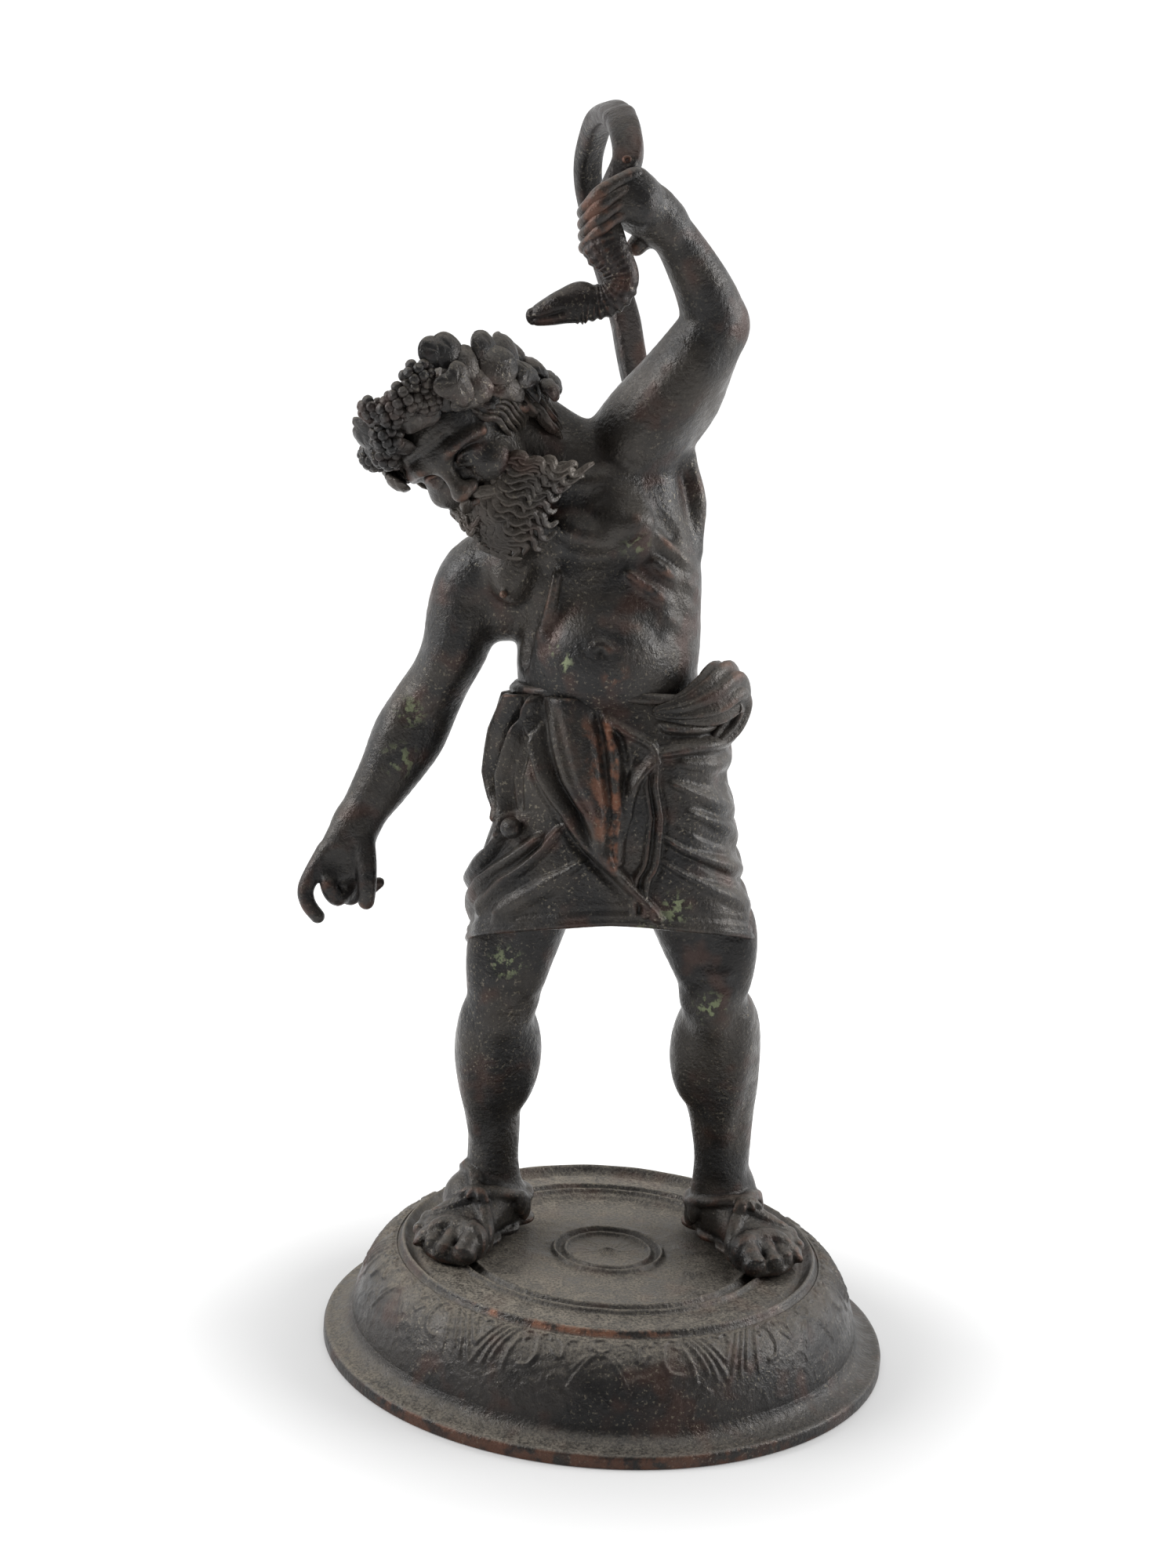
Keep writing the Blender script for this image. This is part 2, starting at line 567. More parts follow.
# Trunk and arms: limbs are rows of x, y, z, half width and half depth
bodyShape = {
    "step": 1.14, "waist": 246,
    "trunk": [(-12, 2, 228, 46, 34), (-15, 2, 258, 43, 33), (-18.5, 0, 284, 41.5, 34), (-19, 0, 306, 42, 34),
              (-24, 0, 328, 43, 32), (-33, 0, 350, 39, 29), (-43, -2, 370, 26, 23)],
    "rightArm": [(-70, 0, 334, 16, 17), (-80, 1, 325, 18.5, 18), (-86, 2, 310, 17.5, 17.5), (-90, 2, 292, 15.5, 16),
                 (-95.5, 2, 278, 14.3, 15), (-103, 2, 263, 15.4, 14.5), (-110, 0, 248, 16.6, 14.5),
                 (-117, -3, 233, 14.2, 13), (-125, -7, 218, 11.8, 11), (-131, -11, 207, 10.2, 9)],
    "leftArm": [(-26, 4, 370, 20, 20), (-17, 2, 385, 22, 20.5), (-8, -4, 401, 21.3, 20), (2, -8, 416, 19.5, 18.5),
                (11, -11, 431, 17.5, 17.5), (17, -12, 444, 15.3, 16.5), (17, -13, 453, 14.3, 15.5),
                (13.3, -16, 462, 13, 14), (7.4, -19, 472, 11.6, 12.5), (0.6, -23, 482, 10.2, 11),
                (-6, -28, 489.5, 9.8, 10), (-12, -33, 495.5, 10.5, 9.5)],
    "lean": (0.9, 0, 0.4),
    # centre, radii along left, front and up, blend
    "muscles": [((-22, -13, 291), (36, 30, 27), 9), ((-7, 2, 358), (18.5, 23, 28), 9), ((0, 4, 332), (19, 22, 26), 9),
                ((-68, 1, 317), (14, 16, 20), 8), ((-22, -20, 300), (24, 22, 20), 12)],
    "leaningMuscles": [((-62, -12, 334), (17, 17, 16), 4), ((-18, -13, 360), (24, 18, 17), 6),
                       ((-56, 8, 350), (26, 18, 18), 9), ((-66, -19, 327), (9, 9, 7), 5),
                       ((-12, -18, 356), (14, 12, 10), 6)],
    # shoulder, upper arm and forearm muscles, and their blend
    "armMuscles": [
        ([(-76, -6, 334, 8, 9), (-88, -6, 318, 9, 9), (-92, -4, 298, 6, 7)], 9),
        ([(-86, -10, 306, 7, 7), (-92, -11, 288, 8, 7), (-99, -9, 270, 5, 5)], 9),
        ([(-80, 12, 312, 8, 7), (-88, 12, 290, 8, 6), (-98, 12, 268, 4, 4)], 9),
        ([(-112, -8, 262, 5, 5), (-116, -9, 245, 7, 6), (-124, -11, 224, 4, 4)], 8),
        ([(-96, 4, 268, 5, 5), (-103, 3, 248, 7, 7), (-118, -4, 222, 4, 4)], 8),
        ([(-14, -16, 392, 9, 8), (0, -20, 410, 10, 8), (12, -22, 430, 7, 6)], 9),
        ([(2, 6, 392, 9, 8), (14, 2, 412, 10, 8), (22, -2, 434, 6, 6)], 9),
    ],
    # the point of the elbow, then the neck and the cords at its sides
    "neck": [((27, -10, 447), (6, 7, 8), 8), ([(-40, 2, 364), (-55, -4, 380), (-72, -13, 390)], [21, 21, 19], 9),
             ([(-38, -14, 374), (-50, -18, 386), (-64, -22, 398)], [5, 5.5, 5], 8),
             ([(-26, -8, 378), (-42, -4, 394), (-58, -2, 406)], [6, 7, 6], 9)],
    "breastAndBelly": [
        # the lower edges of both breasts, and the long hollow from there down the flank
        ([(-70, -28, 315), (-63, -32, 315), (-56, -31, 323), (-51, -29, 332)], [0.8, 1.1, 1.3, 1.0], 8, True),
        ([(-52, -30, 338), (-38, -34.5, 342), (-22, -34, 345), (-10, -33, 351), (-2, -25, 359)],
         [1.6, 2.2, 2.6, 2.6, 2.0], 5, True),
        ([(-48, -30, 332), (-52, -28, 319), (-55, -23, 306), (-55, -22, 292)], [1, 1.7, 1.6, 0.9], 9, True),
        ([(-44, -33, 333), (-46, -33, 319), (-48, -30, 306)], [1.6, 2.0, 1.6], 8),
        ((-32, -26, 352), (16, 11, 8), 6, False, (0.2, 0, 1)), ((-14, -26, 358), (12, 10, 8), 6, False, (-0.2, 0, 1)),
        # the arch of the ribs over the round belly, and the folds over and under the navel
        ([(-46, -37, 311), (-36, -41, 320), (-22, -42, 324), (-8, -40, 320), (4, -33, 311)],
         [1.4, 2, 2.4, 2, 1.4], 6, True),
        ([(-25, -38, 342), (-25, -41, 332), (-25, -42, 324)], [1.2, 1.8, 1.4], 6, True),
        ([(-40, -44, 296), (-36, -47, 303), (-26, -49, 310), (-13, -48, 309), (-4, -44, 303)],
         [1.0, 1.6, 1.8, 1.6, 1.0], 5, True),
        ([(-36, -45, 290), (-26, -49, 286), (-13, -49, 288), (-7, -47, 296)], [0.8, 1.3, 1.5, 1.0], 5, True),
        ((-21.5, -47, 302.6), (2.0, 4.4, 1.8), 2.4, True),
    ],
    "navelLid": [(-25.5, -45, 303.5), (-21.5, -45, 306), (-17.5, -45, 303.5)],
    # slanting ribs and the toothed muscle under the raised arm: the middle of each, and its radius
    "ribs": [(4, -20, 349, 2.8), (11, -15, 342, 3.0), (5, -23.5, 337, 2.8), (14, -13.5, 331, 3.0),
             (3, -26.5, 326, 2.6), (14, -13.5, 320, 2.8), (8, -23, 315, 2.4), (-6, -29, 332, 2.2)],
    "armpitAndBack": [
        ([(-3, -27, 374), (2, -24, 362), (8, -17, 353)], [2, 2.8, 2.2], 5, True),
        ([(12, 8, 385), (17, 6, 365), (17, 4, 345)], [3, 4.5, 3], 8),
        # collar bones and nipples
        ([(-44, -22, 374), (-30, -24, 376), (-18, -18, 380)], [2.2, 2.4, 2], 6),
        ([(-66, -12, 350), (-76, -6, 346)], [2, 2], 6),
        ((-67.5, -29.6, 322.5), (1.8, 1.8, 1.8), 3), ((-10.3, -33.0, 361.5), (1.6, 1.6, 1.6), 3),
        # the hollow of the backbone, the shoulder blades and the long muscles of the back
        ([(-50, 30, 372), (-32, 36, 340), (-22, 38, 305), (-16, 38, 272)], [2, 3, 3, 2], 10, True),
        ((-58, 22, 352), (13, 7, 18), 9), ((-14, 24, 362), (13, 7, 18), 9, False, (0.5, 0, 1)),
        ([(-34, 30, 330), (-30, 32, 300), (-30, 32, 272)], [5, 6, 5], 10),
        ([(-6, 30, 330), (-2, 32, 300), (-2, 32, 272)], [5, 6, 5], 10),
    ],
}


def addBody(space, shape):
    addLimb(space, shape["trunk"], shape["lean"], 4, 8)
    for limb in ("rightArm", "leftArm"):
        addLimb(space, shape[limb], blend=9)
    addStrokes(space, shape["muscles"] + [(*row, False, shape["lean"]) for row in shape["leaningMuscles"]])
    for rows, blend in shape["armMuscles"]:
        addLimb(space, rows, blend=blend)
    addStrokes(space, shape["neck"] + shape["breastAndBelly"])
    addTube(space, onSkin(space, shape["navelLid"], -0.6), [1.0, 1.5, 1.0], 3)
    for x, y, z, r in shape["ribs"]:
        addTube(space, [(x - 5, y - 2.6, z + 4), (x, y - 0.6, z), (x + 3.6, y + 4, z - 4)], [r * 0.8, r, r * 0.7], 3.4)
    addStrokes(space, shape["armpitAndBack"])


handShape = {
    "loweredPalm": [(-131, -11, 207, 10.2, 9), (-134, -14, 197, 12.5, 8.5), (-136, -16, 187, 13, 8.5)],
    "loweredFingers": [
        ([(-144, -18, 194), (-151.5, -23, 179), (-150.5, -25, 171), (-145.5, -26, 165)], [4.8, 4, 3.7, 3.4]),
        ([(-141, -20, 188), (-141, -24, 179), (-137, -21, 173), (-132, -15, 177)], [4.6, 4, 3.8, 3.4]),
        ([(-136, -14, 187), (-136, -17, 177), (-132, -13, 171.5), (-127, -9, 175)], [4.6, 4, 3.8, 3.4]),
        ([(-131, -8, 188), (-131, -9, 179), (-126, -6, 173.5), (-119.5, -7, 178)], [4.2, 3.8, 3.4, 2.7]),
        ([(-128, -15, 203), (-125, -20, 192), (-123.5, -23, 181), (-123.5, -23, 173)], [6, 5.2, 4.5, 3.9]),
    ],
    # the raised fist: a broad back of the hand, four fingers under the finger shells, and the thumb
    "fistPalm": [(-7, -30, 491, 10.5, 10), (-17, -36, 497, 12.5, 10), (-23, -41, 500.5, 11, 9.5)],
    "fistDrops": (1, 5.5, 10, 14),
    "fistFinger": [(-19, -44, 511), (-26, -48, 507.5), (-33, -49.8, 502), (-37.5, -46.5, 496.5), (-38.5, -40, 493),
                   (-35, -34, 493)],
    "fistRadii": [3.0, 3.3, 3.2, 3.0, 2.8, 2.6],
    "thumb": [(-12, -28, 491), (-15, -25, 484), (-18, -28, 480)],
    # x, y, z and radius along the top finger, thick at the knuckle and the joints and slimmer between
    "finger": [(-17.5, -43.5, 508.6, 3.0), (-20.5, -46.6, 509.6, 3.5), (-24.8, -49.6, 508, 2.9),
               (-29.5, -52, 505.2, 2.9),
               (-34.5, -53, 501, 3.5), (-38.6, -50.6, 496.4, 3.0), (-41, -46, 493.4, 2.9), (-41, -40.5, 492, 3.1),
               (-37, -36, 492, 2.7)],
}


def addHands(space, shape):
    addLimb(space, shape["loweredPalm"], (0.85, 0.4, 0), 4, 5)
    for points, radii in shape["loweredFingers"]:
        addTube(space, points, radii, 2.2, 5)
    addMass(space, (-138, -25, 190), (5, 3, 6), blend=4, carve=True)
    addLimb(space, shape["fistPalm"], (0.3, 0, 1), 4, 4)
    for drop in shape["fistDrops"]:
        addTube(space, [(x, y, z - drop) for x, y, z in shape["fistFinger"]], shape["fistRadii"], 1.5)
    addMass(space, (-18.5, -42.5, 500.5), (10, 9.5, 12.5), front=(-0.3, -1, 0.2), up=(-0.35, 0, 1), blend=4.5)
    addTube(space, shape["thumb"], [5.5, 5, 4.4], 3)


def fingerShells(shape):
    shells = []
    for k in range(4):
        drop, small = 4.9 * k - 0.6, 1 - 0.04 * k
        rows = [(x + 0.4 * k, y + 0.5 * abs(k - 1), z - drop, r * small, r * small) for x, y, z, r in shape["finger"]]
        shells.append(domedShell(rows, (0.3, 0.2, 1), ropeSection(1, 0.0, 0.0, 20), 4))
    return shells


bodySpace = makeSpace((-162, -62, 158), (62, 54, 522), bodyShape["step"])
addBody(bodySpace, bodyShape)
addHands(bodySpace, handShape)
# the trunk ends inside the cloth
waist = bodyShape["waist"]
first, last, axes = window(bodySpace, np.array([-80, -62, 150]), np.array([62, 54, waist]))
flat = np.broadcast_to((waist - axes[2]).astype(np.float32), last - first)
addShape(bodySpace, first, last, -flat, 2.0, True)
buildPiece("trunkAndArms", joined([skinOf(bodySpace)] + fingerShells(handShape)), "figure", figureBronze)

# Legs with sandalled feet
legShape = {
    "step": 1.15,
    "rightLeg": [(-36, 0, 225, 27, 27), (-46, -3, 180, 21, 23), (-52, -4, 155, 19, 20), (-56.6, -5, 137, 17.5, 18.5),
                 (-60, -5, 123, 15.5, 17), (-61, 0, 110, 18, 18.5), (-60.4, 5, 95, 19.4, 19), (-61, 8, 79, 16.8, 17),
                 (-61, 11, 66, 14, 15), (-59.6, 12, 52, 12.6, 13.5), (-59.3, 14, 35, 12.5, 13),
                 (-57, 16, 17, 13.5, 15)],
    "leftLeg": [(14, 0, 228, 28, 28), (26, -3, 186, 23, 24), (35, -4, 162, 20.5, 20), (40.6, -5, 145, 16.5, 18),
                (43.3, -5, 131, 14.5, 17), (46.4, 2, 118, 18, 19), (46.4, 8, 102, 20.1, 19), (48.3, 12, 85, 18.7, 17.5),
                (50, 15, 72, 16.3, 15.5), (51.4, 17, 59, 14.7, 14), (52.6, 19, 42, 13.4, 13.5), (52, 22, 19, 13.5, 15)],
    # centre from the kneecap, across towards the inner side, back and up; radii and blend
    "muscles": [((0, -0.5, 0), (7.5, 4.8, 8), 3.2), ((0, 3, -13), (4.5, 5, 7), 5), ((11, 6, 13), (8, 8, 13), 6),
                ((-9, 6, 22), (8, 9, 22), 8), ((12, 12, -5), (5, 7, 8), 6), ((9, 25, -36), (10, 12, 24), 8),
                ((-9, 25, -32), (9, 10, 22), 8)],
    # the ridge down each shin
    "rightShin": [(-59, -13.5, 112), (-59, -9.5, 95), (-59, -4.5, 79), (-58.5, 0.5, 66), (-58, 3, 52),
                  (-57.5, 5.5, 36)],
    "leftShin": [(44, -12, 119), (45, -6.5, 102), (47, -1, 85), (48.5, 3.5, 72), (50, 7, 59), (51, 10, 42)],
}


def addLegMuscles(space, shape, knee, inner, shin):
    # knee is the kneecap; inner is +1 where the inner side lies towards +x
    x, y, z = knee
    for (across, back, above), radii, blend in shape["muscles"]:
        addMass(space, (x + inner * across, y + back, z + above), radii, blend=blend)
    addTube(space, shin, 3.6, 7)
    # the fold over the kneecap, and the long muscle on the outer side of the shin
    addTube(space, [(x + inner * 11, y + 2, z + 4), (x + inner * 7, y - 2.5, z + 10), (x - inner * 3, y - 3, z + 11)],
            [2.4, 2.6, 2.0], 4)
    addTube(space, [(x - inner * 11, y + 10, z - 14), (x - inner * 11, y + 14, z - 40),
                    (x - inner * 7, y + 22, z - 74)],
            [4.5, 5.5, 3], 7)


footShape = {
    # ahead, out, up, half width, half depth
    "foot": [(6, 0, 13, 11, 11), (22, 2, 16, 12, 13), (38, 6, 12, 15, 8), (50, 8, 9.5, 17, 6.5)],
    # how far out, where the tip is, and the radius
    "toes": [(-6, 71, 6.2), (4.8, 69, 4.7), (12.4, 65.5, 4.3), (19.2, 60.5, 4.0), (25.2, 54, 3.6)],
    # ahead, out and half width of the sole's parts
    "sole": [(0, 0, 12), (16, 1, 12.5), (34, 5, 15), (47, 8, 18), (56, 4, 14.5)],
    # flat straps laid over the foot to a knot, an ankle strap and a loop round the big toe
    "straps": [((48, -15, 5), (43, -8, 17), (34, 3, 26)), ((43, 25, 4), (40, 17, 15), (34, 3, 26)),
               ((34, 3, 26), (22, -10, 24), (8, -14, 18)), ((34, 3, 26), (22, 12, 24), (8, 14, 18)),
               ((8, -14, 18), (-8, -9, 20), (-12, 0, 20), (-8, 9, 20), (8, 14, 18)),
               ((57, -14, 4), (56, -9, 14), (54, -2, 15), (51, 2, 9)), ((58, 22, 5), (52, 12, 14), (50, 2, 14),
                                                                        (52, -4, 12))],
    "knot": (34, 3, 26),
    "tongues": [(16, -13, 17), (10, -14, 12), (16, 13, 17), (10, 14, 12)],
}


def addFoot(space, shape, heel, heading, outer):
    # a sandalled foot; its own axes are ahead, out towards the little toe, and up
    heading = math.radians(heading)
    ahead = np.array((math.sin(heading), -math.cos(heading), 0))
    out = np.array((-ahead[1], ahead[0], 0)) * outer
    origin = np.array((*heel, 0.0))

    def place(a, o, z):
        return origin + ahead * a + out * o + (0, 0, z)

    def rows(*points):
        return [(*place(a, o, z), w, d) for a, o, z, w, d in points]

    addLimb(space, rows(*shape["foot"]), out, 4, 5)
    # toes with a joint, a ball at the tip and a nail
    for offset, tip, r in shape["toes"]:
        toe = rows((46, offset * 0.75 + 1, 10.5, r, r), (tip - 12, offset, 11, r * 0.9, r * 0.95),
                   (tip - 8, offset, 9, r * 0.85, r * 0.85), (tip - r, offset, 7.8, r, r * 0.95))
        addLimb(space, toe, out, 3, 1.0)
        nail = place(tip - r * 0.7, offset, 7.8 + r * 0.62)
        addMass(space, nail, (r * 0.6, r * 0.66, 1.1), front=ahead, blend=0.6)
    for a, o, half in shape["sole"]:
        addMass(space, place(a, o, 3.2), (half, half * 0.85, 3.6), front=ahead, blend=3)
    # each strap is three small tubes side by side
    bands = [onSkin(space, [place(a + shift, o, z) for a, o, z in smoothPath(ends, 4)], 0.5)
             for ends in shape["straps"] for shift in (-2.1, 0, 2.1)]
    knot = onSkin(space, [place(*shape["knot"])], 1.0)[0]
    for laid in bands:
        addTube(space, laid, 1.7, 1.6, 2)
    addMass(space, knot, (5.2, 4.6, 3.2), front=ahead, blend=1.2)
    # the tongues of leather at the ankle, and the ends of the knot
    for tongue in shape["tongues"]:
        addMass(space, onSkin(space, [place(*tongue)], 0.6)[0], (2.6, 4.4, 6.2), front=ahead, blend=1.4)
    for turn in (-1.1, -0.35, 0.35, 1.1):
        tip = onSkin(space, [knot + out * (9 * math.sin(turn)) + ahead * (9 * math.cos(turn))], 0.4)[0]
        addTube(space, [knot + (0, 0, 1.2), (knot + tip) / 2 + (0, 0, 2.0), tip], [1.6, 2.0, 1.5], 0.6)


legSpace = makeSpace((-104, -66, -2), (104, 54, 200), legShape["step"])
addLimb(legSpace, legShape["rightLeg"], blend=5)
addLimb(legSpace, legShape["leftLeg"], blend=5)
addLegMuscles(legSpace, legShape, (-59, -17, 129), 1, legShape["rightShin"])
addLegMuscles(legSpace, legShape, (43, -18, 138), -1, legShape["leftShin"])
# heel and ankle
addStrokes(legSpace, [((60, 25, 19), (12, 13, 19), 7), ((-70, 8, 16), (12.5, 14, 15), 7)])
addFoot(legSpace, footShape, (-49, 24), -22, -1)
addFoot(legSpace, footShape, (47, 34), 26, 1)
# the soles are cut flat
first, last, axes = window(legSpace, legSpace["low"], legSpace["low"] + np.array([300, 300, 12]))
addShape(legSpace, first, last, np.broadcast_to(axes[2], last - first).astype(np.float32), 0.6, True)
buildPiece("legsAndFeet", skinOf(legSpace), "figure", figureBronze)

# The loincloth: point(angle, drop) = outline(drop) as a squared oval, lifted by its folds
clothShape = {
    # drop, x, y, z, half width, half depth
    "outline": [(0.0, -16, 0, 272, 45, 37), (0.15, -13, 0, 256, 52, 40), (0.35, -13, -1, 236, 53, 42),
                (0.5, -9.5, -1.5, 220, 53, 42), (0.65, -11, -2, 203, 57.5, 41.5), (0.82, -12, -3, 186, 62.5, 41),
                (0.92, -9.5, -3, 172, 65, 41), (1.0, -9, -3, 159, 66.5, 41)],
    "squareness": 2.6, "waistRise": 7, "hemRise": 18, "aroundFront": 320, "aroundBack": 80, "down": 120,
    # millimetres of cloth to a degree round, and from waist to hem
    "perDegree": 0.96, "tall": 113,
    # angle and drop along each fold, then height and half widths in millimetres, and rubbed copper
    "folds": [
        ([(-88, 0.0), (-90, 0.12), (-92, 0.26), (-88, 0.4), (-68, 0.54)], 6.5, (12, 14, 13, 9, 4), 0.2),
        ([(-58, -0.02), (-66, 0.1), (-73, 0.24), (-74, 0.38), (-60, 0.54)], 8.5, (11, 13, 12, 8, 4.5), 0.25),
        ([(-43, 0.02), (-50, 0.15), (-56, 0.3), (-60, 0.44), (-58, 0.56)], 6.5, (5, 5.5, 5, 4, 4), 0.1),
        ([(-57, 0.54), (-54, 0.60)], 7.5, (5, 5.5), 0.1),
        ([(-55, 0.62), (-66, 0.72), (-86, 0.8), (-112, 0.76)], 6, (5, 8, 9, 8), 0.2),
        ([(-34, 0.62), (-46, 0.73), (-66, 0.84), (-90, 0.9)], 4.2, (4, 6, 7, 6), 0.1),
        ([(-24, 0.56), (-31, 0.68), (-42, 0.81), (-60, 0.91)], 3.6, (3, 5, 6, 5), 0.05),
        ([(-12, 0.74), (-24, 0.85), (-46, 0.94)], 2.8, (3, 6, 5), 0.05),
        ([(-46, 0.04), (-43, 0.14), (-34, 0.3), (-25, 0.48), (-11, 0.63), (2, 0.78), (10, 0.88), (18, 0.97)], 4.6,
         (5, 7, 7.5, 7, 5.5, 4, 3.5, 3), 0.0),
        ([(-24, 0.02), (-20, 0.2), (-14, 0.38), (-10, 0.52), (-4, 0.68), (3, 0.8)], 5.4, (14, 15, 13, 10, 6.5, 3.5),
         0.25),
        ([(-2, 0.08), (9, 0.13), (18, 0.17), (21, 0.24)], 3.4, (3.4, 3.4, 3.4, 3.4), 0.2),
        ([(19, 0.24), (11, 0.34), (5, 0.47), (3, 0.6), (4, 0.74)], 3.8, (4, 4, 4, 3.5, 3), 0.2),
        ([(20.5, 0.22), (20.5, 0.49), (19.5, 0.73), (14.5, 0.87), (13, 0.96)], 3.2, (2.4, 2.4, 2.2, 2, 2), 0.25),
        ([(16.5, 0.27), (16, 0.5), (15, 0.73), (10, 0.87), (9, 0.96)], 2.4, (1.8, 1.8, 1.8, 1.8, 1.8), 0.1),
        ([(23, 0.2), (42, 0.16), (70, 0.13), (100, 0.1), (124, 0.08)], 3.6, (3, 5, 6.5, 6.5, 5), 0.15),
        ([(26, 0.09), (48, 0.08), (76, 0.05), (104, 0.03)], 3.4, (3, 4.5, 5, 5), 0.1),
        ([(34, 0.24), (56, 0.245), (84, 0.22), (112, 0.16)], 2.4, (4, 6, 7, 7), 0.05),
        ([(30, 0.34), (50, 0.41), (76, 0.45), (104, 0.42), (128, 0.34)], 2.4, (3, 6, 8, 8, 7), 0.05),
        ([(36, 0.47), (62, 0.54), (88, 0.57), (116, 0.54)], 2.4, (3, 6, 8, 8), 0.05),
        ([(24, 0.60), (38, 0.67), (62, 0.72), (90, 0.72), (118, 0.66)], 2.6, (2, 4, 6, 7, 7), 0.05),
        ([(23, 0.72), (34, 0.8), (50, 0.86), (76, 0.88), (100, 0.84)], 2.2, (2, 3.5, 5, 6, 6), 0.05),
        ([(-100, 0.1), (-104, 0.35), (-108, 0.6), (-118, 0.9)], 3.4, (8, 9, 9, 8), 0.0),
        ([(-128, 0.04), (-132, 0.35), (-128, 0.65), (-126, 0.97)], 3.8, (6, 8, 8, 7), 0.0),
        ([(-152, 0.04), (-156, 0.35), (-152, 0.65), (-154, 0.97)], 3.2, (6, 8, 8, 7), 0.0),
        ([(-176, 0.04), (-179, 0.35), (-176, 0.65), (-174, 0.97)], 3.8, (7, 9, 8, 7), 0.0),
        ([(158, 0.04), (156, 0.35), (160, 0.65), (162, 0.97)], 3.4, (6, 8, 8, 7), 0.0),
        ([(132, 0.1), (134, 0.35), (138, 0.65), (140, 0.97)], 3.6, (6, 8, 8, 7), 0.0),
        ([(112, 0.3), (114, 0.55), (118, 0.97)], 2.6, (6, 9, 8), 0.0),
    ],
    # sharp ridges and cut lines over the folds: path, height or depth, half width, copper
    "creases": [
        ([(-37, 0.03), (-31, 0.2), (-24, 0.38), (-18, 0.5), (-8, 0.64)], -2.4, 3.0, 0),
        ([(-27, 0.03), (-22, 0.2), (-16, 0.37), (-11, 0.5)], -0.9, 2.6, 0),
        ([(-14, 0.03), (-11, 0.2), (-7, 0.36), (-7, 0.52), (-3, 0.68)], 0.9, 4.5, 0.5),
        ([(-10, 0.1), (-7, 0.3), (-6, 0.45), (-3, 0.62)], 0.0, 8.0, 0.5),
        ([(-9, 0.04), (-6, 0.2), (-3, 0.36), (-4, 0.52), (-1, 0.68)], -1.3, 2.4, 0),
        ([(-5, 0.03), (-1, 0.18), (1.5, 0.34), (0, 0.51), (0.5, 0.67), (3, 0.79)], 2.4, 3.4, 0.85),
        ([(0, 0.1), (5, 0.2), (7, 0.34), (4, 0.5), (3, 0.64)], -2.2, 2.8, 0),
        ([(14, 0.22), (10, 0.3), (6, 0.42)], -1.6, 3.2, 0),
        ([(-49, 0.03), (-46, 0.14), (-39, 0.3), (-31, 0.46), (-20, 0.6), (-6, 0.76), (4, 0.88)], -2.4, 3.2, 0),
        ([(-49, 0.05), (-57, 0.18), (-64, 0.32), (-65, 0.46)], -3.2, 3.4, 0),
        ([(-38, 0.07), (-44, 0.22), (-48, 0.38), (-50, 0.5)], -1.8, 3.2, 0),
        ([(24, 0.13), (44, 0.12), (70, 0.09), (98, 0.06)], -1.4, 2.0, 0),
        ([(24, 0.3), (24, 0.55), (22, 0.75), (16, 0.9)], -1.0, 2.2, 0),
        ([(30, 0.3), (52, 0.34), (80, 0.34), (108, 0.28)], -0.7, 2.4, 0),
        ([(-44, 0.66), (-56, 0.76), (-76, 0.86)], -1.8, 3.2, 0),
        ([(-30, 0.62), (-40, 0.76), (-58, 0.88)], -1.5, 2.8, 0),
        ([(-60, 0.64), (-74, 0.7), (-94, 0.7)], -1.8, 3.4, 0),
        ([(30, 0.66), (50, 0.76), (76, 0.8)], -0.8, 2.2, 0),
        ([(28, 0.52), (50, 0.6), (78, 0.64)], -0.8, 2.4, 0),
    ],
    # the boss that gathers the folds on his right thigh: angle, drop, lift and radius
    "boss": (-47, 0.57, 4.6, 5.0),
    # angle and radius along the roll at the waist
    "waistRoll": [(-100, 3.4), (-70, 3.2), (-40, 2.6), (-10, 2.6), (20, 2.6), (45, 3), (70, 4)],
    # the twist on his left hip: x, y, z, half width up and down, half depth
    "hipTwist": [(6, -35, 275, 3.5, 3), (18, -31.5, 276.5, 7.5, 5.5), (29, -25, 280, 11.5, 7.5),
                 (36, -15, 283.5, 12.5, 9),
                 (38.5, -8, 276, 10.5, 9.5), (37, -12, 267, 8, 8), (32, -19, 261, 6, 6)],
}


def clothPoint(shape, angle, drop, lift):
    outline = np.array(shape["outline"])
    x, y, z, wide, deep = (np.interp(drop, outline[:, 0], outline[:, i]) for i in range(1, 6))
    s, c = np.sin(np.radians(angle)), np.cos(np.radians(angle))
    power = shape["squareness"]
    reach = (np.abs(s) ** power + np.abs(c) ** power) ** (-1 / power)
    rise = (np.maximum(0, c) * (shape["waistRise"] * (1 - drop) + shape["hemRise"] * drop * drop)
            + np.where(s < 0, 7, 2.5) * s * drop**2)
    return np.stack([x + (wide + lift) * s * reach, y - (deep + lift) * c * reach, z + rise], -1)


def besidePath(shape, path, angle, drop):
    # the squared distance in millimetres of each point from a path, and how far along it is
    perDegree, tall = shape["perDegree"], shape["tall"]
    fine = smoothPath(path, 6)
    nearest, share = np.full(angle.shape, 1e6), np.zeros(angle.shape)
    for i, (a, b) in enumerate(zip(fine, fine[1:])):
        run = np.array([(b[0] - a[0]) * perDegree, (b[1] - a[1]) * tall])
        du = ((angle - a[0] + 180) % 360 - 180) * perDegree
        dv = (drop - a[1]) * tall
        t = np.clip((du * run[0] + dv * run[1]) / max(run.dot(run), 1e-6), 0, 1)
        away = (du - t * run[0]) ** 2 + (dv - t * run[1]) ** 2
        share = np.where(away < nearest, (i + t) / (len(fine) - 1), share)
        nearest = np.minimum(nearest, away)
    return nearest, share


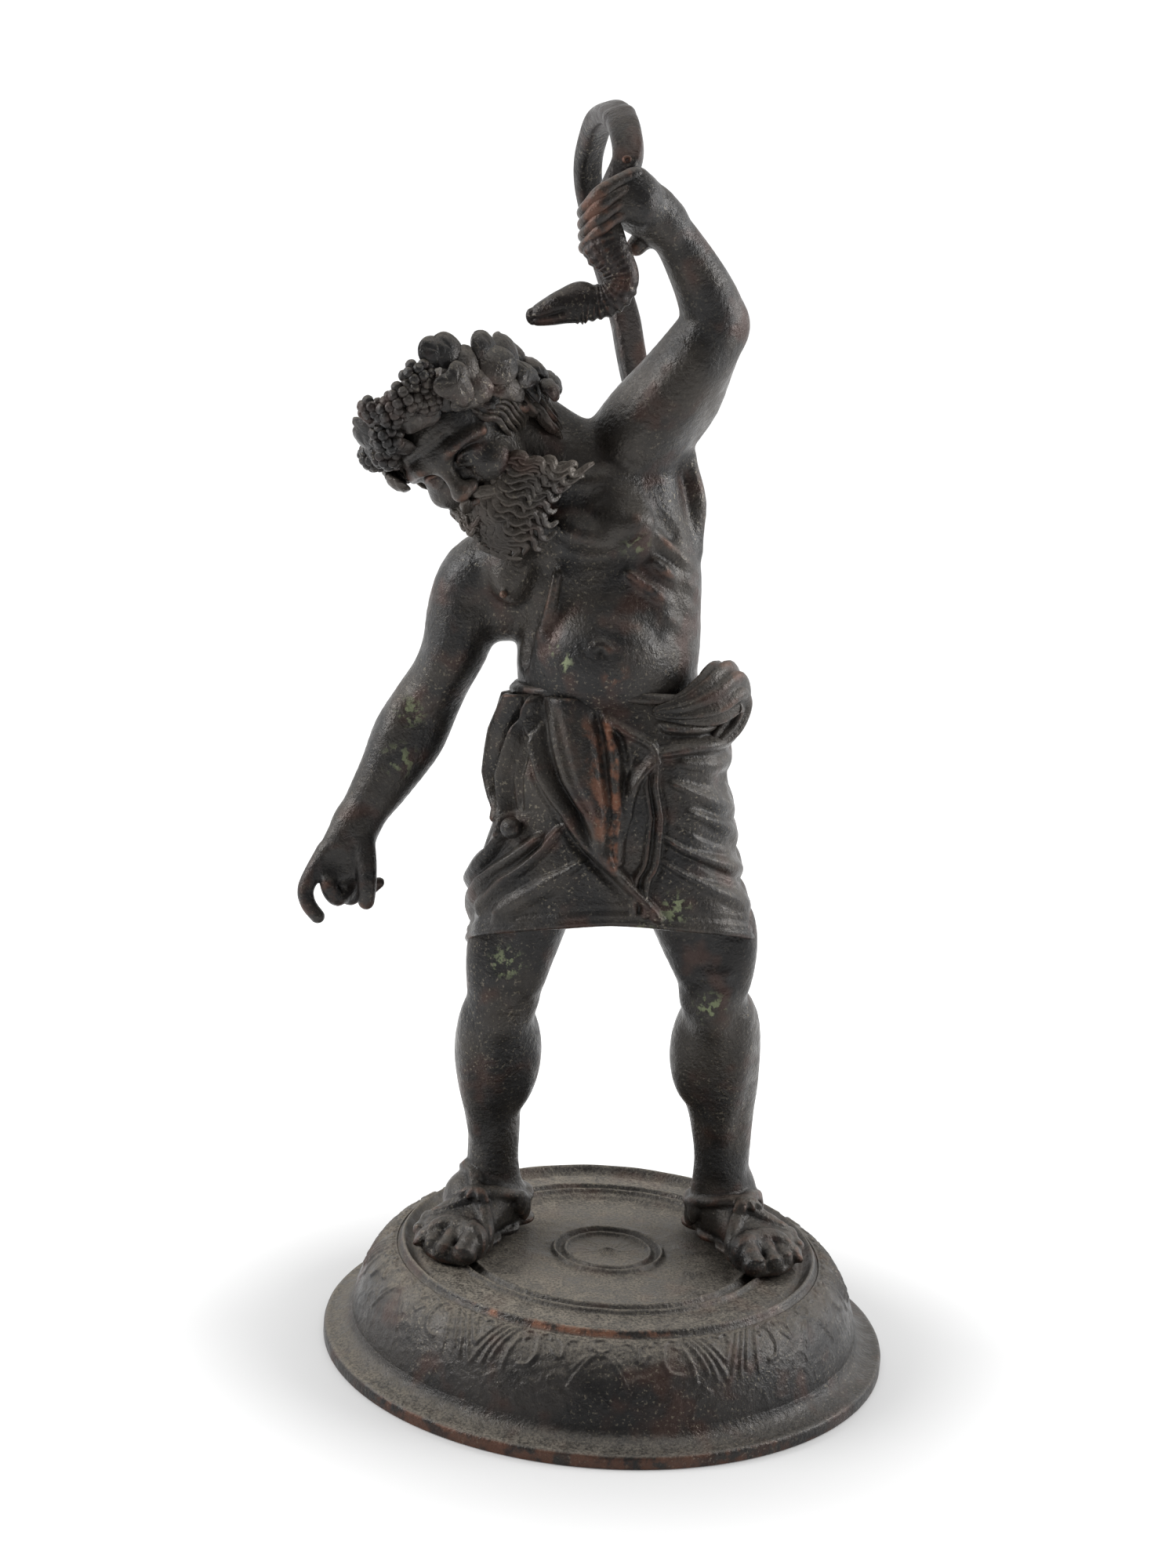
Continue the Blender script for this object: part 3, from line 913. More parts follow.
def foldLift(shape, angle, drop):
    # the highest fold over each point, height (1 - (distance / half width)^2)^1.5, then the creases added
    lift, copper = np.zeros_like(angle), np.zeros_like(angle)
    for path, height, halves, rubbed in shape["folds"]:
        nearest, share = besidePath(shape, path, angle, drop)
        half = np.interp(share, np.linspace(0, 1, len(halves)), halves)
        bulge = height * np.maximum(0, 1 - nearest / half**2) ** 1.5
        copper = np.where(bulge > lift, rubbed * np.clip(bulge / height * 1.6 - 0.5, 0, 1), copper)
        lift = np.maximum(lift, bulge)
    for path, height, half, rubbed in shape["creases"]:
        nearest, share = besidePath(shape, path, angle, drop)
        fading = np.clip(np.minimum(share, 1 - share) * 6 + 0.15, 0, 1)
        bulge = np.maximum(0, 1 - nearest / half**2) ** 1.5 * fading
        lift = lift + height * bulge
        copper = np.maximum(copper, rubbed * bulge)
    return lift, copper


def clothShell(shape):
    front = np.linspace(-110, 110, shape["aroundFront"], endpoint=False)
    back = np.linspace(110, 250, shape["aroundBack"], endpoint=False)
    turns = np.concatenate([front, back])
    drops = np.linspace(0, 1, shape["down"])
    angle, drop = np.broadcast_arrays(turns, drops[:, None])
    lift, copper = foldLift(shape, angle, drop)
    ripple = 0.5 * np.sin(np.radians(angle * 9 + drop * 200)) + 0.3 * np.sin(np.radians(angle * 17 - drop * 320))
    lift = lift + ripple * np.minimum(1, drop * 4) * (1 - np.clip(lift / 2.5, 0, 0.85))
    # the hem band: a flare with two sunk lines 5 and 2 millimetres above the edge
    above = (1 - drop) * shape["tall"]
    lift = lift * (1 - 0.35 * np.exp(-(above / 4) ** 2)) + 2.0 * np.exp(-(above / 6) ** 2)
    lift -= 0.8 * np.exp(-((above - 5.2) / 0.7) ** 2) + 0.5 * np.exp(-((above - 1.8) / 0.6) ** 2)
    # the waist edge rolls in to the belly and closes inside it, and the hem turns under and runs up as a recess
    rings = [clothPoint(shape, turns, 0.0, lift[0] - inward) - (0, 0, fall)
             for inward, fall in ((26, 8), (12, 5), (5, 1.0), (2.4, -0.6), (0.9, -0.5))]
    tints = [copper[0]] * len(rings) + list(copper)
    rings += list(clothPoint(shape, angle, drop, lift))
    for inward, fall in ((0.5, 0.9), (1.4, 1.4), (2.4, 0.9), (3.2, -0.6), (4.2, -4), (6, -10), (8, -18), (16, -24),
                         (30, -27)):
        rings.append(clothPoint(shape, turns, 1.0, lift[-1] - inward) - (0, 0, fall))
        tints.append(0 * copper[-1])
    return gridShell(np.array(rings)), np.concatenate([*tints, [0, 0]])


cloth, clothCopper = clothShell(clothShape)
twist = domedShell(clothShape["hipTwist"], (0.3, 0.2, 1), ropeSection(9, 0.14, 0.025, 54), 8)
waistRoll = [(*clothPoint(clothShape, angle, 0.0, -1.0) + (0, 0, 2), r, r) for angle, r in clothShape["waistRoll"]]
roll = domedShell(waistRoll, (0, 0, 1), ropeSection(3, 0.08, 0.03, 20), 8)
boss = sphereShell(clothPoint(clothShape, *clothShape["boss"][:3]), clothShape["boss"][3])
loincloth = joined([facingOut(cloth), twist, roll, boss])
clothCopper = np.concatenate([clothCopper, np.zeros(len(loincloth["points"]) - len(clothCopper))])
buildPiece("loincloth", loincloth, "figure", figureBronze, 3.5, 0.35, clothCopper)

# The head, in its own axes: front through the face, his left, and up through the crown
headShape = {"centre": np.array((-92, -26, 396.0)), "up": unit((-0.72, -0.35, 0.60)),
             "left": unit((0.69, -0.42, 0.584)), "step": 0.8}
headShape["front"] = unit(np.cross(headShape["left"], headShape["up"]))
headShape["left"] = np.cross(headShape["up"], headShape["front"])


def onHead(front, left, up):
    shape = headShape
    return (shape["centre"] + np.multiply.outer(front, shape["front"]) + np.multiply.outer(left, shape["left"])
            + np.multiply.outer(up, shape["up"]))


def addHead(space):
    def ball(front, left, up, radii, blend=4, carve=False):
        addMass(space, onHead(front, left, up), radii, headShape["front"], headShape["up"], blend, carve)

    def cord(points, radii, blend=2, carve=False):
        addTube(space, [onHead(*p) for p in points], radii, blend, 4, carve)

    ball(-4, 0, 1, (29, 32, 28))
    ball(2, 0, 11, (28, 29, 20), 6)
    ball(10, 0, -14, (22, 20, 22), 8)
    # brow, eye hollows, eyeballs with lids, cheeks and nostrils
    for side in (-1, 1):
        ball(29.5, side * 11, -1.5, (7, 4.6, 4.6), 4, True)
        cord([(31, side * 4, 5.4), (31.4, side * 10, 7.4), (27, side * 17.5, 6), (22, side * 22, 2)],
             [2.0, 2.3, 2.2, 1.8], 5)
        ball(24.4, side * 10.5, -1, (5.4, 4.8, 4.1), 1.2)
        cord([(28.4, side * 4.6, -1.4), (29.6, side * 10, 1.9), (25.4, side * 16.4, -1.4)], [0.8, 1.0, 0.8], 0.9)
        cord([(28.0, side * 4.8, -2.2), (28.4, side * 10, -4.6), (25.2, side * 16, -2.4)], [0.7, 0.8, 0.7], 0.9)
        ball(23, side * 14, -12, (8.5, 7, 7), 7)
        ball(33, side * 4.2, -11.5, (2.8, 3.4, 2.6), 2)
        ball(35, side * 2.5, -14, (1.1, 1.5, 1.3), 1, True)
        ball(-3, side * 30, -5, (3.5, 7, 10), 3)
        ball(-1, side * 33, -4, (2.5, 3.5, 6), 2, True)
        ball(4, side * 26, 6, (6, 12, 9), 4)
    cord([(30, 0, 6.5), (32.6, 0, 0), (35.8, 0, -8)], [2.8, 2.7, 3.3], 5)
    ball(37.0, 0, -9.6, (3.9, 3.8, 3.6), 3)
    # lips under the moustache, and two soft brow lines
    cord([(29.5, -8, -20), (33.2, 0, -18.8), (29.5, 8, -20)], [1.4, 2.0, 1.4], 1.5)
    cord([(29, -7, -23.4), (32.2, 0, -23.6), (29, 7, -23.4)], [1.5, 2.2, 1.5], 1.5)
    cord([(30, -8.5, -21.4), (34.6, 0, -21), (30, 8.5, -21.4)], [0.6, 0.8, 0.6], 0.8, True)
    for up in (13.5, 18):
        cord([(28, -12, up - 1), (31.5, 0, up), (28, 12, up - 1)], [0.6, 0.8, 0.6], 2.5, True)
    # under the beard, and the hair over the nape
    addMass(space, (-68, -29, 368), (16, 8, 13), blend=6)
    addMass(space, (-60, -27, 364), (13, 7, 11), up=(1, 0, 1), blend=6)
    for front, left, up, radius in ((-6, -30, -20, 9), (2, -28, -28, 7), (-16, -22, -20, 10), (-22, -8, -20, 11),
                                    (-22, 10, -20, 11), (-14, 24, -16, 9)):
        ball(front, left, up, (radius, radius, radius * 1.1), 5)


headSpace = makeSpace((-142, -84, 336), (-22, 30, 448), headShape["step"])
addHead(headSpace)
buildPiece("headAndFace", skinOf(headSpace), "figure", figureBronze, 2.2, 0.9)

# The beard's locks are laid over a surface from the face to their tips on the breast
beardShape = {
    "tips": [(-77, -47, 361), (-79, -46, 352), (-75, -45, 345), (-67, -44, 342), (-59, -44, 342), (-52.5, -44, 346),
             (-48.5, -44, 355), (-45, -43, 365), (-41.5, -42, 373), (-36.5, -41, 379.5), (-33, -40, 386)],
    # rows of locks from the chest up to the face: start, end, locks in the row, and how proud they lie
    "rows": [(0.56, 1.08, 16, -1.0), (0.36, 0.86, 17, 0.0), (0.20, 0.66, 16, 0.8), (0.08, 0.46, 15, 1.4),
             (-0.02, 0.26, 14, 1.6)],
    "halfWidth": 2.15, "halfDepth": 2.2, "swing": 2.1, "waves": 2.9,
}


def beardSurface(shape, across, along):
    # a bent sheet: (1-t)^2 root + 2t(1-t) middle + t^2 tip, across from his right to his left
    tips = np.array(shape["tips"], float)
    spread = np.linspace(0, 1, len(tips))
    tip = np.stack([np.interp(across, spread, tips[:, i]) for i in range(3)], -1)
    bend = np.abs(2 * across - 1)
    root = onHead(28 - 10 * bend, -22 + 46 * across, -17 - 5 * bend + 6 * np.maximum(0, 2 * across - 1))
    middle = (root + tip) / 2 + headShape["front"] * 8
    t = along[..., None]
    return (1 - t) ** 2 * root + 2 * t * (1 - t) * middle + t**2 * tip


def strandSection(s, points=16, strokes=3, depth=0.2):
    # a circle with three strokes along it, as cut with a chisel in the wax
    turn = fullTurn(points)[None, :]
    radius = 1 + depth * np.cos(strokes * turn) + 0 * s
    return radius * np.cos(turn), radius * np.sin(turn)


def lockShell(centres, outward, wide, deep):
    # a lock along centres: widest at a third, pointed at its tip
    t = np.linspace(0, 1, len(centres))
    swell = np.clip(np.minimum(t * 4 + 0.3, (1 - t) ** 0.5 * 1.2 + 0.05), 0, 1)
    rows = [(*c, w, d) for c, w, d in zip(centres, wide * swell, deep * swell)]
    return facingOut(gridShell(sweep(rows, np.cross(outward, centres[1] - centres[0]), strandSection, 1)))


def wavyLock(bare, sideways, outward, wide, deep, swing, turns, phase, proud, curl):
    # an S along a bare line: swing sin(turns 2 pi t + phase) sideways, and a hook inwards at the tip
    outward = np.broadcast_to(outward, bare.shape)
    t = np.linspace(0, 1, len(bare))
    wave = turns * 2 * np.pi * t + phase
    across = swing * (np.sin(wave) + 0.12 * np.sin(3 * wave)) * np.clip(t * 5, 0.3, 1)
    across = across + curl * np.clip(t - 0.72, 0, 1) ** 1.5 * 6
    lift = proud + 0.9 * np.sin(np.pi * t) - 1.5 * np.clip(t - 0.85, 0, 1) * 4
    return lockShell(bare + sideways * across[:, None] + outward * lift[:, None], outward[0], wide, deep)


def beardShells(shape, points=20):
    shells = []
    for row, (begin, end, count, proud) in enumerate(shape["rows"]):
        for k in range(count):
            across = (k + 0.5 + 0.5 * (row % 2)) / (count + 0.5)
            way = 1 if math.sin(1.7 * k + 2.1 * row) > 0 else -1
            reach = (end - begin) * (1 + 0.18 * math.sin(5.1 * k + row))
            t = np.linspace(begin, begin + reach, points)
            bare = beardSurface(shape, np.full(points, across), t)
            sideways = beardSurface(shape, np.full(points, across + 0.01), t) - bare
            sideways /= np.linalg.norm(sideways, axis=1)[:, None]
            outward = np.cross(np.gradient(bare, axis=0), sideways)
            outward /= np.linalg.norm(outward, axis=1)[:, None]
            outward *= np.sign((outward * headShape["front"]).sum(1))[:, None]
            phase = 2 * math.pi * shape["waves"] * begin + 1.3 * math.sin(0.6 * k + 2.3 * row)
            shells.append(wavyLock(bare, sideways, outward, shape["halfWidth"], shape["halfDepth"], shape["swing"],
                                   shape["waves"] * reach, phase, proud, 1.5 * way))
    return shells


def skullSide(front, up, side):
    # a point a millimetre off the side of the skull, at a front and an up
    reach = np.sqrt(np.maximum(0.03, 1 - ((front + 4) / 33) ** 2 - ((up - 3) / 33) ** 2))
    return onHead(front, side * (29.5 * reach + 1.0), up)


def hairShells(points=13):
    shells = []
    ahead, left, above = headShape["front"], headShape["left"], headShape["up"]
    t = np.linspace(0, 1, points)
    # waves from under the wreath over the temples and ears, on both sides
    for side in (-1, 1):
        for layer in range(2):
            for k in range(14):
                front = np.linspace(20 - 3.0 * k - 2 * layer, 15 - 3.3 * k - 3 * layer, points)
                up = np.linspace(22 - 1.0 * k - 13 * layer, 0 - 1.5 * k - 14 * layer, points)
                shells.append(wavyLock(skullSide(front, up, side), ahead, left * side, 1.9, 1.6, 1.2, 1.7, 0.5 * k,
                                       0.3 + layer * 0.7, 1.2))
    # hair hanging over the nape
    for layer in range(2):
        for k in range(17):
            turn = np.radians(92 + 11 * k)
            bare = onHead(-4 + 31 * np.cos(turn) + 0 * t, 29 * np.sin(turn) + 0 * t, (-2 - 12 * layer) - 26 * t)
            aim = ahead * np.cos(turn) + left * np.sin(turn)
            bare = bare - aim * (4.5 * t**2)[:, None]
            shells.append(wavyLock(bare, np.cross(above, aim), aim, 3.2, 2.6, 1.5, 1.6, 0.4 * k, 1.5, 1.5))
    # moustache, two locks to each side
    for side in (-1, 1):
        for row in range(2):
            bare = onHead(34 - 11 * t**1.4 - row, side * (1.5 + 15 * t), -15.5 - row * 2.2 - 13 * t**1.6)
            shells.append(wavyLock(bare, above, ahead, 2.6, 2.2, 0.7, 1.2, 0.5, 0.6, -1.4))
    return shells


buildPiece("beardAndHair", joined(beardShells(beardShape) + hairShells()), "figure", hairBronze, 1.2, 0.7)

# The wreath: ivy leaves, berries and buds on a ring round the head
wreathShape = {
    "ring": (36, 42, 37, 6, 30, 4), "bandRadius": 7.2, "ringLeaves": 24,
    # turn, out, up and radius of each berry cluster
    "clusters": [(38, 0, 10, 6.2), (22, 1, 5, 6.6), (10, 0, 3, 6.2), (-8, 0, -4, 6.4), (-28, -1, -8, 6),
                 (0, -3, 8, 5.4),
                 (30, -2, -3, 5), (-58, 0, 2, 5.4), (150, 0, 2, 5.4), (-140, 0, 2, 5.4)],
    "berries": 15, "berryRadius": 2.6, "goldenAngle": 2.39996,
    # turn, out, up, length, width, lobes, tilt of the tip from straight up, lean outwards
    "leaves": [(48, 6, 1, 9.5, 8.5, 3, 190, 0), (64, 0, 15, 9, 7, 0, 10, 0), (58, -1, 17, 8, 6, 0, -14, 0),
               (76, 4, 1, 11, 8, 0, 150, 20), (84, 2, 10, 9, 7, 0, 30, 10), (102, 2, 8, 10, 7, 0, 60, 10),
               (118, 2, 10, 9, 6.5, 0, 20, 0), (116, 3, -4, 9, 7, 0, 80, 0), (122, 3, -12, 9, 6, 0, 95, 20),
               (98, 3, -20, 8, 5, 0, 100, 0), (72, 2, -11, 9, 7, 3, 170, 0), (90, 3, -8, 9, 7, 3, 140, 0),
               (48, 1, -8, 8, 7, 3, 150, 0), (60, 2, -6, 8, 7, 0, 190, 0), (62, 2, 4, 8, 7, 3, 60, 0),
               (-20, -4, 2, 8, 7, 3, -30, 0), (-42, -2, -4, 8, 7, 3, -60, 0), (-48, 1, -16, 7, 6, 0, -150, 0),
               (-66, 0, -8, 9, 7, 3, -90, 0), (-84, 1, -2, 9, 8, 3, -70, 0), (-104, 1, -3, 9, 7, 0, -100, 0),
               (-122, 1, -2, 9, 8, 3, -60, 0), (-158, 1, 0, 9, 8, 3, -90, 0), (176, 1, 0, 9, 8, 3, 90, 0),
               (160, 1, -3, 9, 7, 0, 110, 0), (138, 1, -2, 9, 8, 3, 80, 0), (14, -1, -5, 7, 5, 0, 200, 0)],
}


def onWreath(turn, out=0.0, up=0.0):
    # the ring's reach to the front, his left and his right, the height of its middle, and its rise over brow and ear
    front, left, right, middle, overBrow, overEar = wreathShape["ring"]
    c, s = np.cos(np.radians(turn)), np.sin(np.radians(turn))
    side = np.where(s > 0, left, right)
    return onHead((front + out) * c, (side + out) * s, middle + overBrow * c + overEar * s + up)


def wreathAxes(turn):
    turn = math.radians(turn)
    outward = unit(headShape["front"] * math.cos(turn) + headShape["left"] * math.sin(turn))
    sideways = unit(np.cross(headShape["up"], outward))
    return outward, sideways, np.cross(outward, sideways)


def leafShell(centre, outward, tip, length, width, lobes, thick, cup=1.6):
    # a flattened ball: outline r(turn) with lobes, cupped by the square of the distance, cut by veins
    sideways = np.cross(tip, outward)
    v = np.linspace(0.05, np.pi - 0.05, 14)[:, None]
    turn = fullTurn(36)[None, :]
    outline = 1 + (0.2 * np.cos(lobes * turn) if lobes else -0.14 * np.cos(2 * turn)) + 0.16 * np.cos(turn)
    reach = np.sin(v) ** 0.75 * outline
    vein = -0.8 * np.exp(-(np.sin(turn / 2 * max(lobes, 1)) / 0.16) ** 2) * np.sin(v) ** 0.5
    ribs = 0.4 * np.sin(reach * length * 1.9 + np.abs(np.sin(turn)) * 3) * np.sin(v)
    lift = thick * np.cos(v) - cup * reach**2 + (vein + ribs) * (np.cos(v) > 0)
    points = (centre + (length * reach * np.cos(turn))[..., None] * tip
              + (width * reach * np.sin(turn))[..., None] * sideways + lift[..., None] * outward)
    return facingOut(gridShell(points))


def berryShell(centre, outward, radius):
    # a ball with a small dimple at its outer end
    sideways = unit(np.cross(outward, (0.3, 0.5, 0.8)))
    upward = np.cross(outward, sideways)
    v = np.linspace(0.12, np.pi - 0.2, 8)[:, None]
    turn = fullTurn(12)[None, :]
    size = radius * (1 - 0.3 * np.exp(-(v / 0.42) ** 2)) + 0 * turn
    points = (centre + (size * np.cos(v))[..., None] * outward
              + (size * np.sin(v) * np.cos(turn))[..., None] * sideways
              + (size * np.sin(v) * np.sin(turn))[..., None] * upward)
    return facingOut(gridShell(points))


def wreathShells(shape):
    shells = []
    for index in range(shape["ringLeaves"]):
        turn = index * 15
        outward, sideways, upward = wreathAxes(turn)
        tip = unit(upward * math.cos(index * 2.3) + sideways * math.sin(index * 2.3))
        centre = onWreath(turn, -3, 4 * (-1) ** index - 2)
        shells.append(leafShell(centre, outward, tip, 9, 7.5, 3 if index % 2 else 0, 2.6))
    for turn, out, up, length, width, lobes, tilt, lean in shape["leaves"]:
        outward, sideways, upward = wreathAxes(turn)
        tilt, lean = math.radians(tilt), math.radians(lean)
        tip = unit(upward * math.cos(tilt) + sideways * math.sin(tilt) + outward * math.sin(lean))
        facing = unit(outward - tip * outward.dot(tip))
        shells.append(leafShell(onWreath(turn, out, up), facing, tip, length, width, lobes, 2.2))
    for turn, out, up, radius in shape["clusters"]:
        outward, sideways, upward = wreathAxes(turn)
        middle = onWreath(turn, out - 2, up)
        for k in range(shape["berries"]):
            # berries over a flat dome, each a golden angle on from the last
            lean, spin = math.acos(1 - 1.1 * (k + 0.5) / shape["berries"]), shape["goldenAngle"] * k
            around = sideways * math.cos(spin) + upward * math.sin(spin)
            aim = outward * math.cos(lean) * 0.75 + around * math.sin(lean)
            shells.append(berryShell(middle + aim * radius, unit(aim), shape["berryRadius"]))
    return shells


band = [(*onWreath(turn, -9.5, -1.5), *[wreathShape["bandRadius"]] * 2) for turn in range(0, 391, 30)]
ringShell = facingOut(gridShell(sweep(band, headShape["up"], ropeSection(9, 0.06, 0.06, 30), 4)))
buildPiece("wreath", joined([ringShell] + wreathShells(wreathShape)), "figure", wreathBronze, 1.3, 0.7)

# The plinth: a profile turned about its axis, and a band round its drum that carries the frieze
plinthShape = {
    "height": 47, "rim": 136.5, "drumFoot": 123.5, "drumFootHeight": 8, "topEdge": 102, "around": 240,
    # radius, half width and height of each turned ring on the top
    "rings": [(99.8, 2.1, 3.3), (94.8, 1.7, -1.3), (76.7, 1.3, 2.5), (73.4, 1.1, -1.0), (70.2, 1.3, 2.4),
              (26.2, 1.3, 2.4), (23.4, 0.9, -0.8), (20.6, 1.1, 1.9), (0, 3.6, 1.9)],
    "stepRadius": 66.4, "stepDepth": 2.2,
    "friezeAround": 840, "friezeDown": 62, "repeats": 6, "reliefHeight": 1.0, "lineWidth": 1.2,
    # the radius at which a repeat is measured, and how far the drum's face runs down
    "friezeRadius": 112, "friezeRun": 44.5,
    # one half of a repeat, mirrored: the points of each raised line, along and down, and its share of the height
    "scrolls": [
        ([(0, 3.2), (3.2, 4.4), (4.2, 7.4), (3, 10.2), (0, 11.4)], 1.0), ([(1, 12), (-6, 22), (-9, 27)], 0.8),
        ([(3, 13), (8, 19), (13, 27)], 0.8), ([(6, 13.5), (12, 20)], 0.6), ([(17, 11), (15, 6.5), (11.5, 5.6)], 0.9),
        ([(17, 15), (17.5, 9), (20.5, 6)], 0.9), ([(19, 16), (22.5, 12)], 0.9),
        ([(37, 5), (33.5, 3.6), (30.5, 6), (29, 11), (29, 16), (31.5, 20.5), (36, 21.6)], 1.0),
        ([(29.4, 8), (27.8, 4.4), (24.6, 4), (23.4, 7)], 1.0), ([(36, 9.5), (34.4, 7.8), (36.6, 6.4)], 0.8),
        ([(40.5, 4), (46, 14), (49, 22)], 0.9), ([(43.5, 4), (50.5, 17), (53, 25)], 0.9),
        ([(46.5, 3.4), (54, 17), (58.5, 26)], 0.9), ([(50, 3.2), (58.5, 18)], 0.8), ([(38.4, 9), (42, 18),
                                                                                      (43, 25)], 0.7),
        ([(58.5, 5), (55, 3.2), (52.8, 5.8), (55, 8.6)], 0.9),
        # the lower row of curling leaves, worn faint
        ([(0, 33), (3.5, 29.5), (8, 31), (8.6, 35), (5, 37)], 0.28), ([(12, 36), (15, 30), (20, 28.4),
                                                                       (23.4, 31)], 0.28),
        ([(23, 38), (21, 33.5), (24.6, 31)], 0.25), ([(30, 28), (34.4, 31), (34, 36), (30, 38)], 0.28),
        ([(40, 38), (42, 32), (47, 29.6), (51, 32)], 0.28), ([(52, 38), (50, 34.4), (53.6, 31.4), (58.5, 33)], 0.25),
        ([(14, 24), (18, 22), (22, 25), (20.4, 29)], 0.35), ([(24, 23), (26, 27.6), (31, 26)], 0.3),
        ([(46, 26.6), (49, 29)], 0.4),
    ],
}


def drumPoint(shape, share, out):
    # a quarter oval from the top edge to the foot, flatter than a round one, moved out along the face by out
    turn = np.radians(2 + 86 * share)
    wide, tall, power = shape["drumFoot"] - shape["topEdge"], shape["height"] - shape["drumFootHeight"], 1.15
    sine, cosine = np.sin(turn), np.cos(turn)
    runOut, runDown = wide * sine ** (power - 1) * cosine, tall * cosine ** (power - 1) * sine
    length = np.hypot(runOut, runDown)
    return (shape["topEdge"] + wide * sine**power + out * runDown / length,
            shape["drumFootHeight"] + tall * cosine**power + out * runOut / length)


def turned(radius, level, turn):
    return np.stack([radius * np.sin(turn), -radius * np.cos(turn), level], -1)


def plinthShell(shape):
    # the profile is turned round; each ring stands height exp(-((r - radius) / half width)^2) above the top
    top, foot, rim = shape["height"], shape["drumFoot"], shape["rim"]
    radius = np.concatenate([[0.4, 1.2, 2.2], np.linspace(3.4, 101.4, 186)])
    level = top - shape["stepDepth"] / (1 + np.exp((radius - shape["stepRadius"]) / 0.6))
    for at, half, height in shape["rings"]:
        level = level + height * np.exp(-((radius - at) / half) ** 2)
    level -= np.clip((radius - 99.6) / 1.8, 0, 1) ** 2 * 1.2
    drum = np.stack(drumPoint(shape, np.linspace(0.04, 0.84, 14), -0.9), 1)
    flange = rim - foot
    # a hollow runs from the drum out into the flange, whose lip is rounded
    edge = np.array([[foot - 1.0, 15.4], [foot - 0.1, 13.2], [foot + 0.8, 11.3], [foot + 2.1, 9.7], [foot + 3.9, 8.4],
                     [foot + flange * 0.46, 7.5], [foot + flange * 0.64, 6.9], [foot + flange * 0.78, 6.7],
                     [rim - 1.9, 6.7], [rim - 1.0, 6.4], [rim - 0.3, 5.7], [rim, 4.6], [rim, 2.6], [rim, 0.6],
                     [rim - 0.5, 0.1], [rim - 1.5, 0], [60, 0], [1, 0]])
    profile = np.vstack([np.stack([radius, level], 1), drum, edge])
    turn = fullTurn(shape["around"])
    radius, level = profile[:, 0][:, None] + 0 * turn, profile[:, 1][:, None] + 0 * turn
    # knocks and wear leave the turned surface a little uneven
    uneven = 0.12 * np.sin(turn * 7 + radius * 0.11) + 0.08 * np.sin(turn * 23 - radius * 0.3) * (level > 1)
    return facingOut(gridShell(turned(radius, level + uneven * (level > 1), turn)))


def friezeShell(shape):
    # height at a point = share * (1 - (distance to the line / half width)^2)^1.5, the highest line of all
    turn = fullTurn(shape["friezeAround"])
    share = np.linspace(0.015, 0.985, shape["friezeDown"])
    cell = 2 * np.pi * shape["friezeRadius"] / shape["repeats"]
    place = (turn / (2 * np.pi) * shape["repeats"] + 0.5) % 1 - 0.5
    along, down = np.broadcast_arrays(np.abs(place) * cell, share[:, None] * shape["friezeRun"])
    lift = np.zeros(along.shape)
    for points, strength in shape["scrolls"]:
        fine = smoothPath(points, 5)
        nearest = np.full(along.shape, 1e6)
        for a, b in zip(fine, fine[1:]):
            run = b - a
            t = np.clip(((along - a[0]) * run[0] + (down - a[1]) * run[1]) / max(run.dot(run), 1e-6), 0, 1)
            nearest = np.minimum(nearest, (along - a[0] - t * run[0]) ** 2 + (down - a[1] - t * run[1]) ** 2)
        lift = np.maximum(lift, strength * np.maximum(0, 1 - nearest / shape["lineWidth"] ** 2) ** 1.5)
    lift *= 1 - 0.25 * np.sin(turn * 3 + 1.2) ** 2
    ground = 0.12 * np.sin(turn * 31 + down * 0.7) * np.sin(down * 0.5 + turn * 11)
    out = lift * shape["reliefHeight"] + ground * np.sin(np.pi * share)[:, None] + 0.05
    radius, level = drumPoint(shape, share[:, None], out)
    inner = drumPoint(shape, np.linspace(0.975, 0.03, 5)[:, None] + 0 * turn, -2.4)
    radius, level = np.vstack([radius, inner[0]]), np.vstack([level, inner[1]])
    return facingOut(gridShell(turned(radius, level, turn), loop=True))


def nearRing(shell, radius, low, high, half, fromTurn, toTurn):
    # how near each point is to a ring between two levels, and between two angles round from the front
    points = shell["points"]
    away = np.abs(np.hypot(points[:, 0], points[:, 1]) - radius) / half
    turn = np.degrees(np.arctan2(points[:, 0], -points[:, 1]))
    within = (points[:, 2] > low) & (points[:, 2] < high) & (turn > fromTurn) & (turn < toTurn)
    return np.clip(1.4 - away, 0, 1) * within * np.clip(np.minimum(turn - fromTurn, toTurn - turn) / 12, 0, 1)


plinthBody = plinthShell(plinthShape)
rubbedRim = np.maximum(nearRing(plinthBody, 100.6, 40, 60, 1.5, -42, 24) * 0.75,
                       nearRing(plinthBody, 136.4, 0, 7, 1.2, -60, 48) * 0.42)
frieze = friezeShell(plinthShape)
# the dust lies thickest to his right, on the flange and the shoulder of the drum
bodyDust, friezeDust = (np.clip(0.62 - piece["points"][:, 0] / 260, 0.25, 1.0) + 0.25 * (piece["points"][:, 2] > 40)
                        for piece in (plinthBody, frieze))
buildPiece("plinthTurned", plinthBody, "plinth", plinthBronze, 2.5, 0.5, rubbedRim, bodyDust)
buildPiece("plinthFrieze", frieze, "plinth", plinthBronze, 1.6, 0.6, dust=friezeDust)

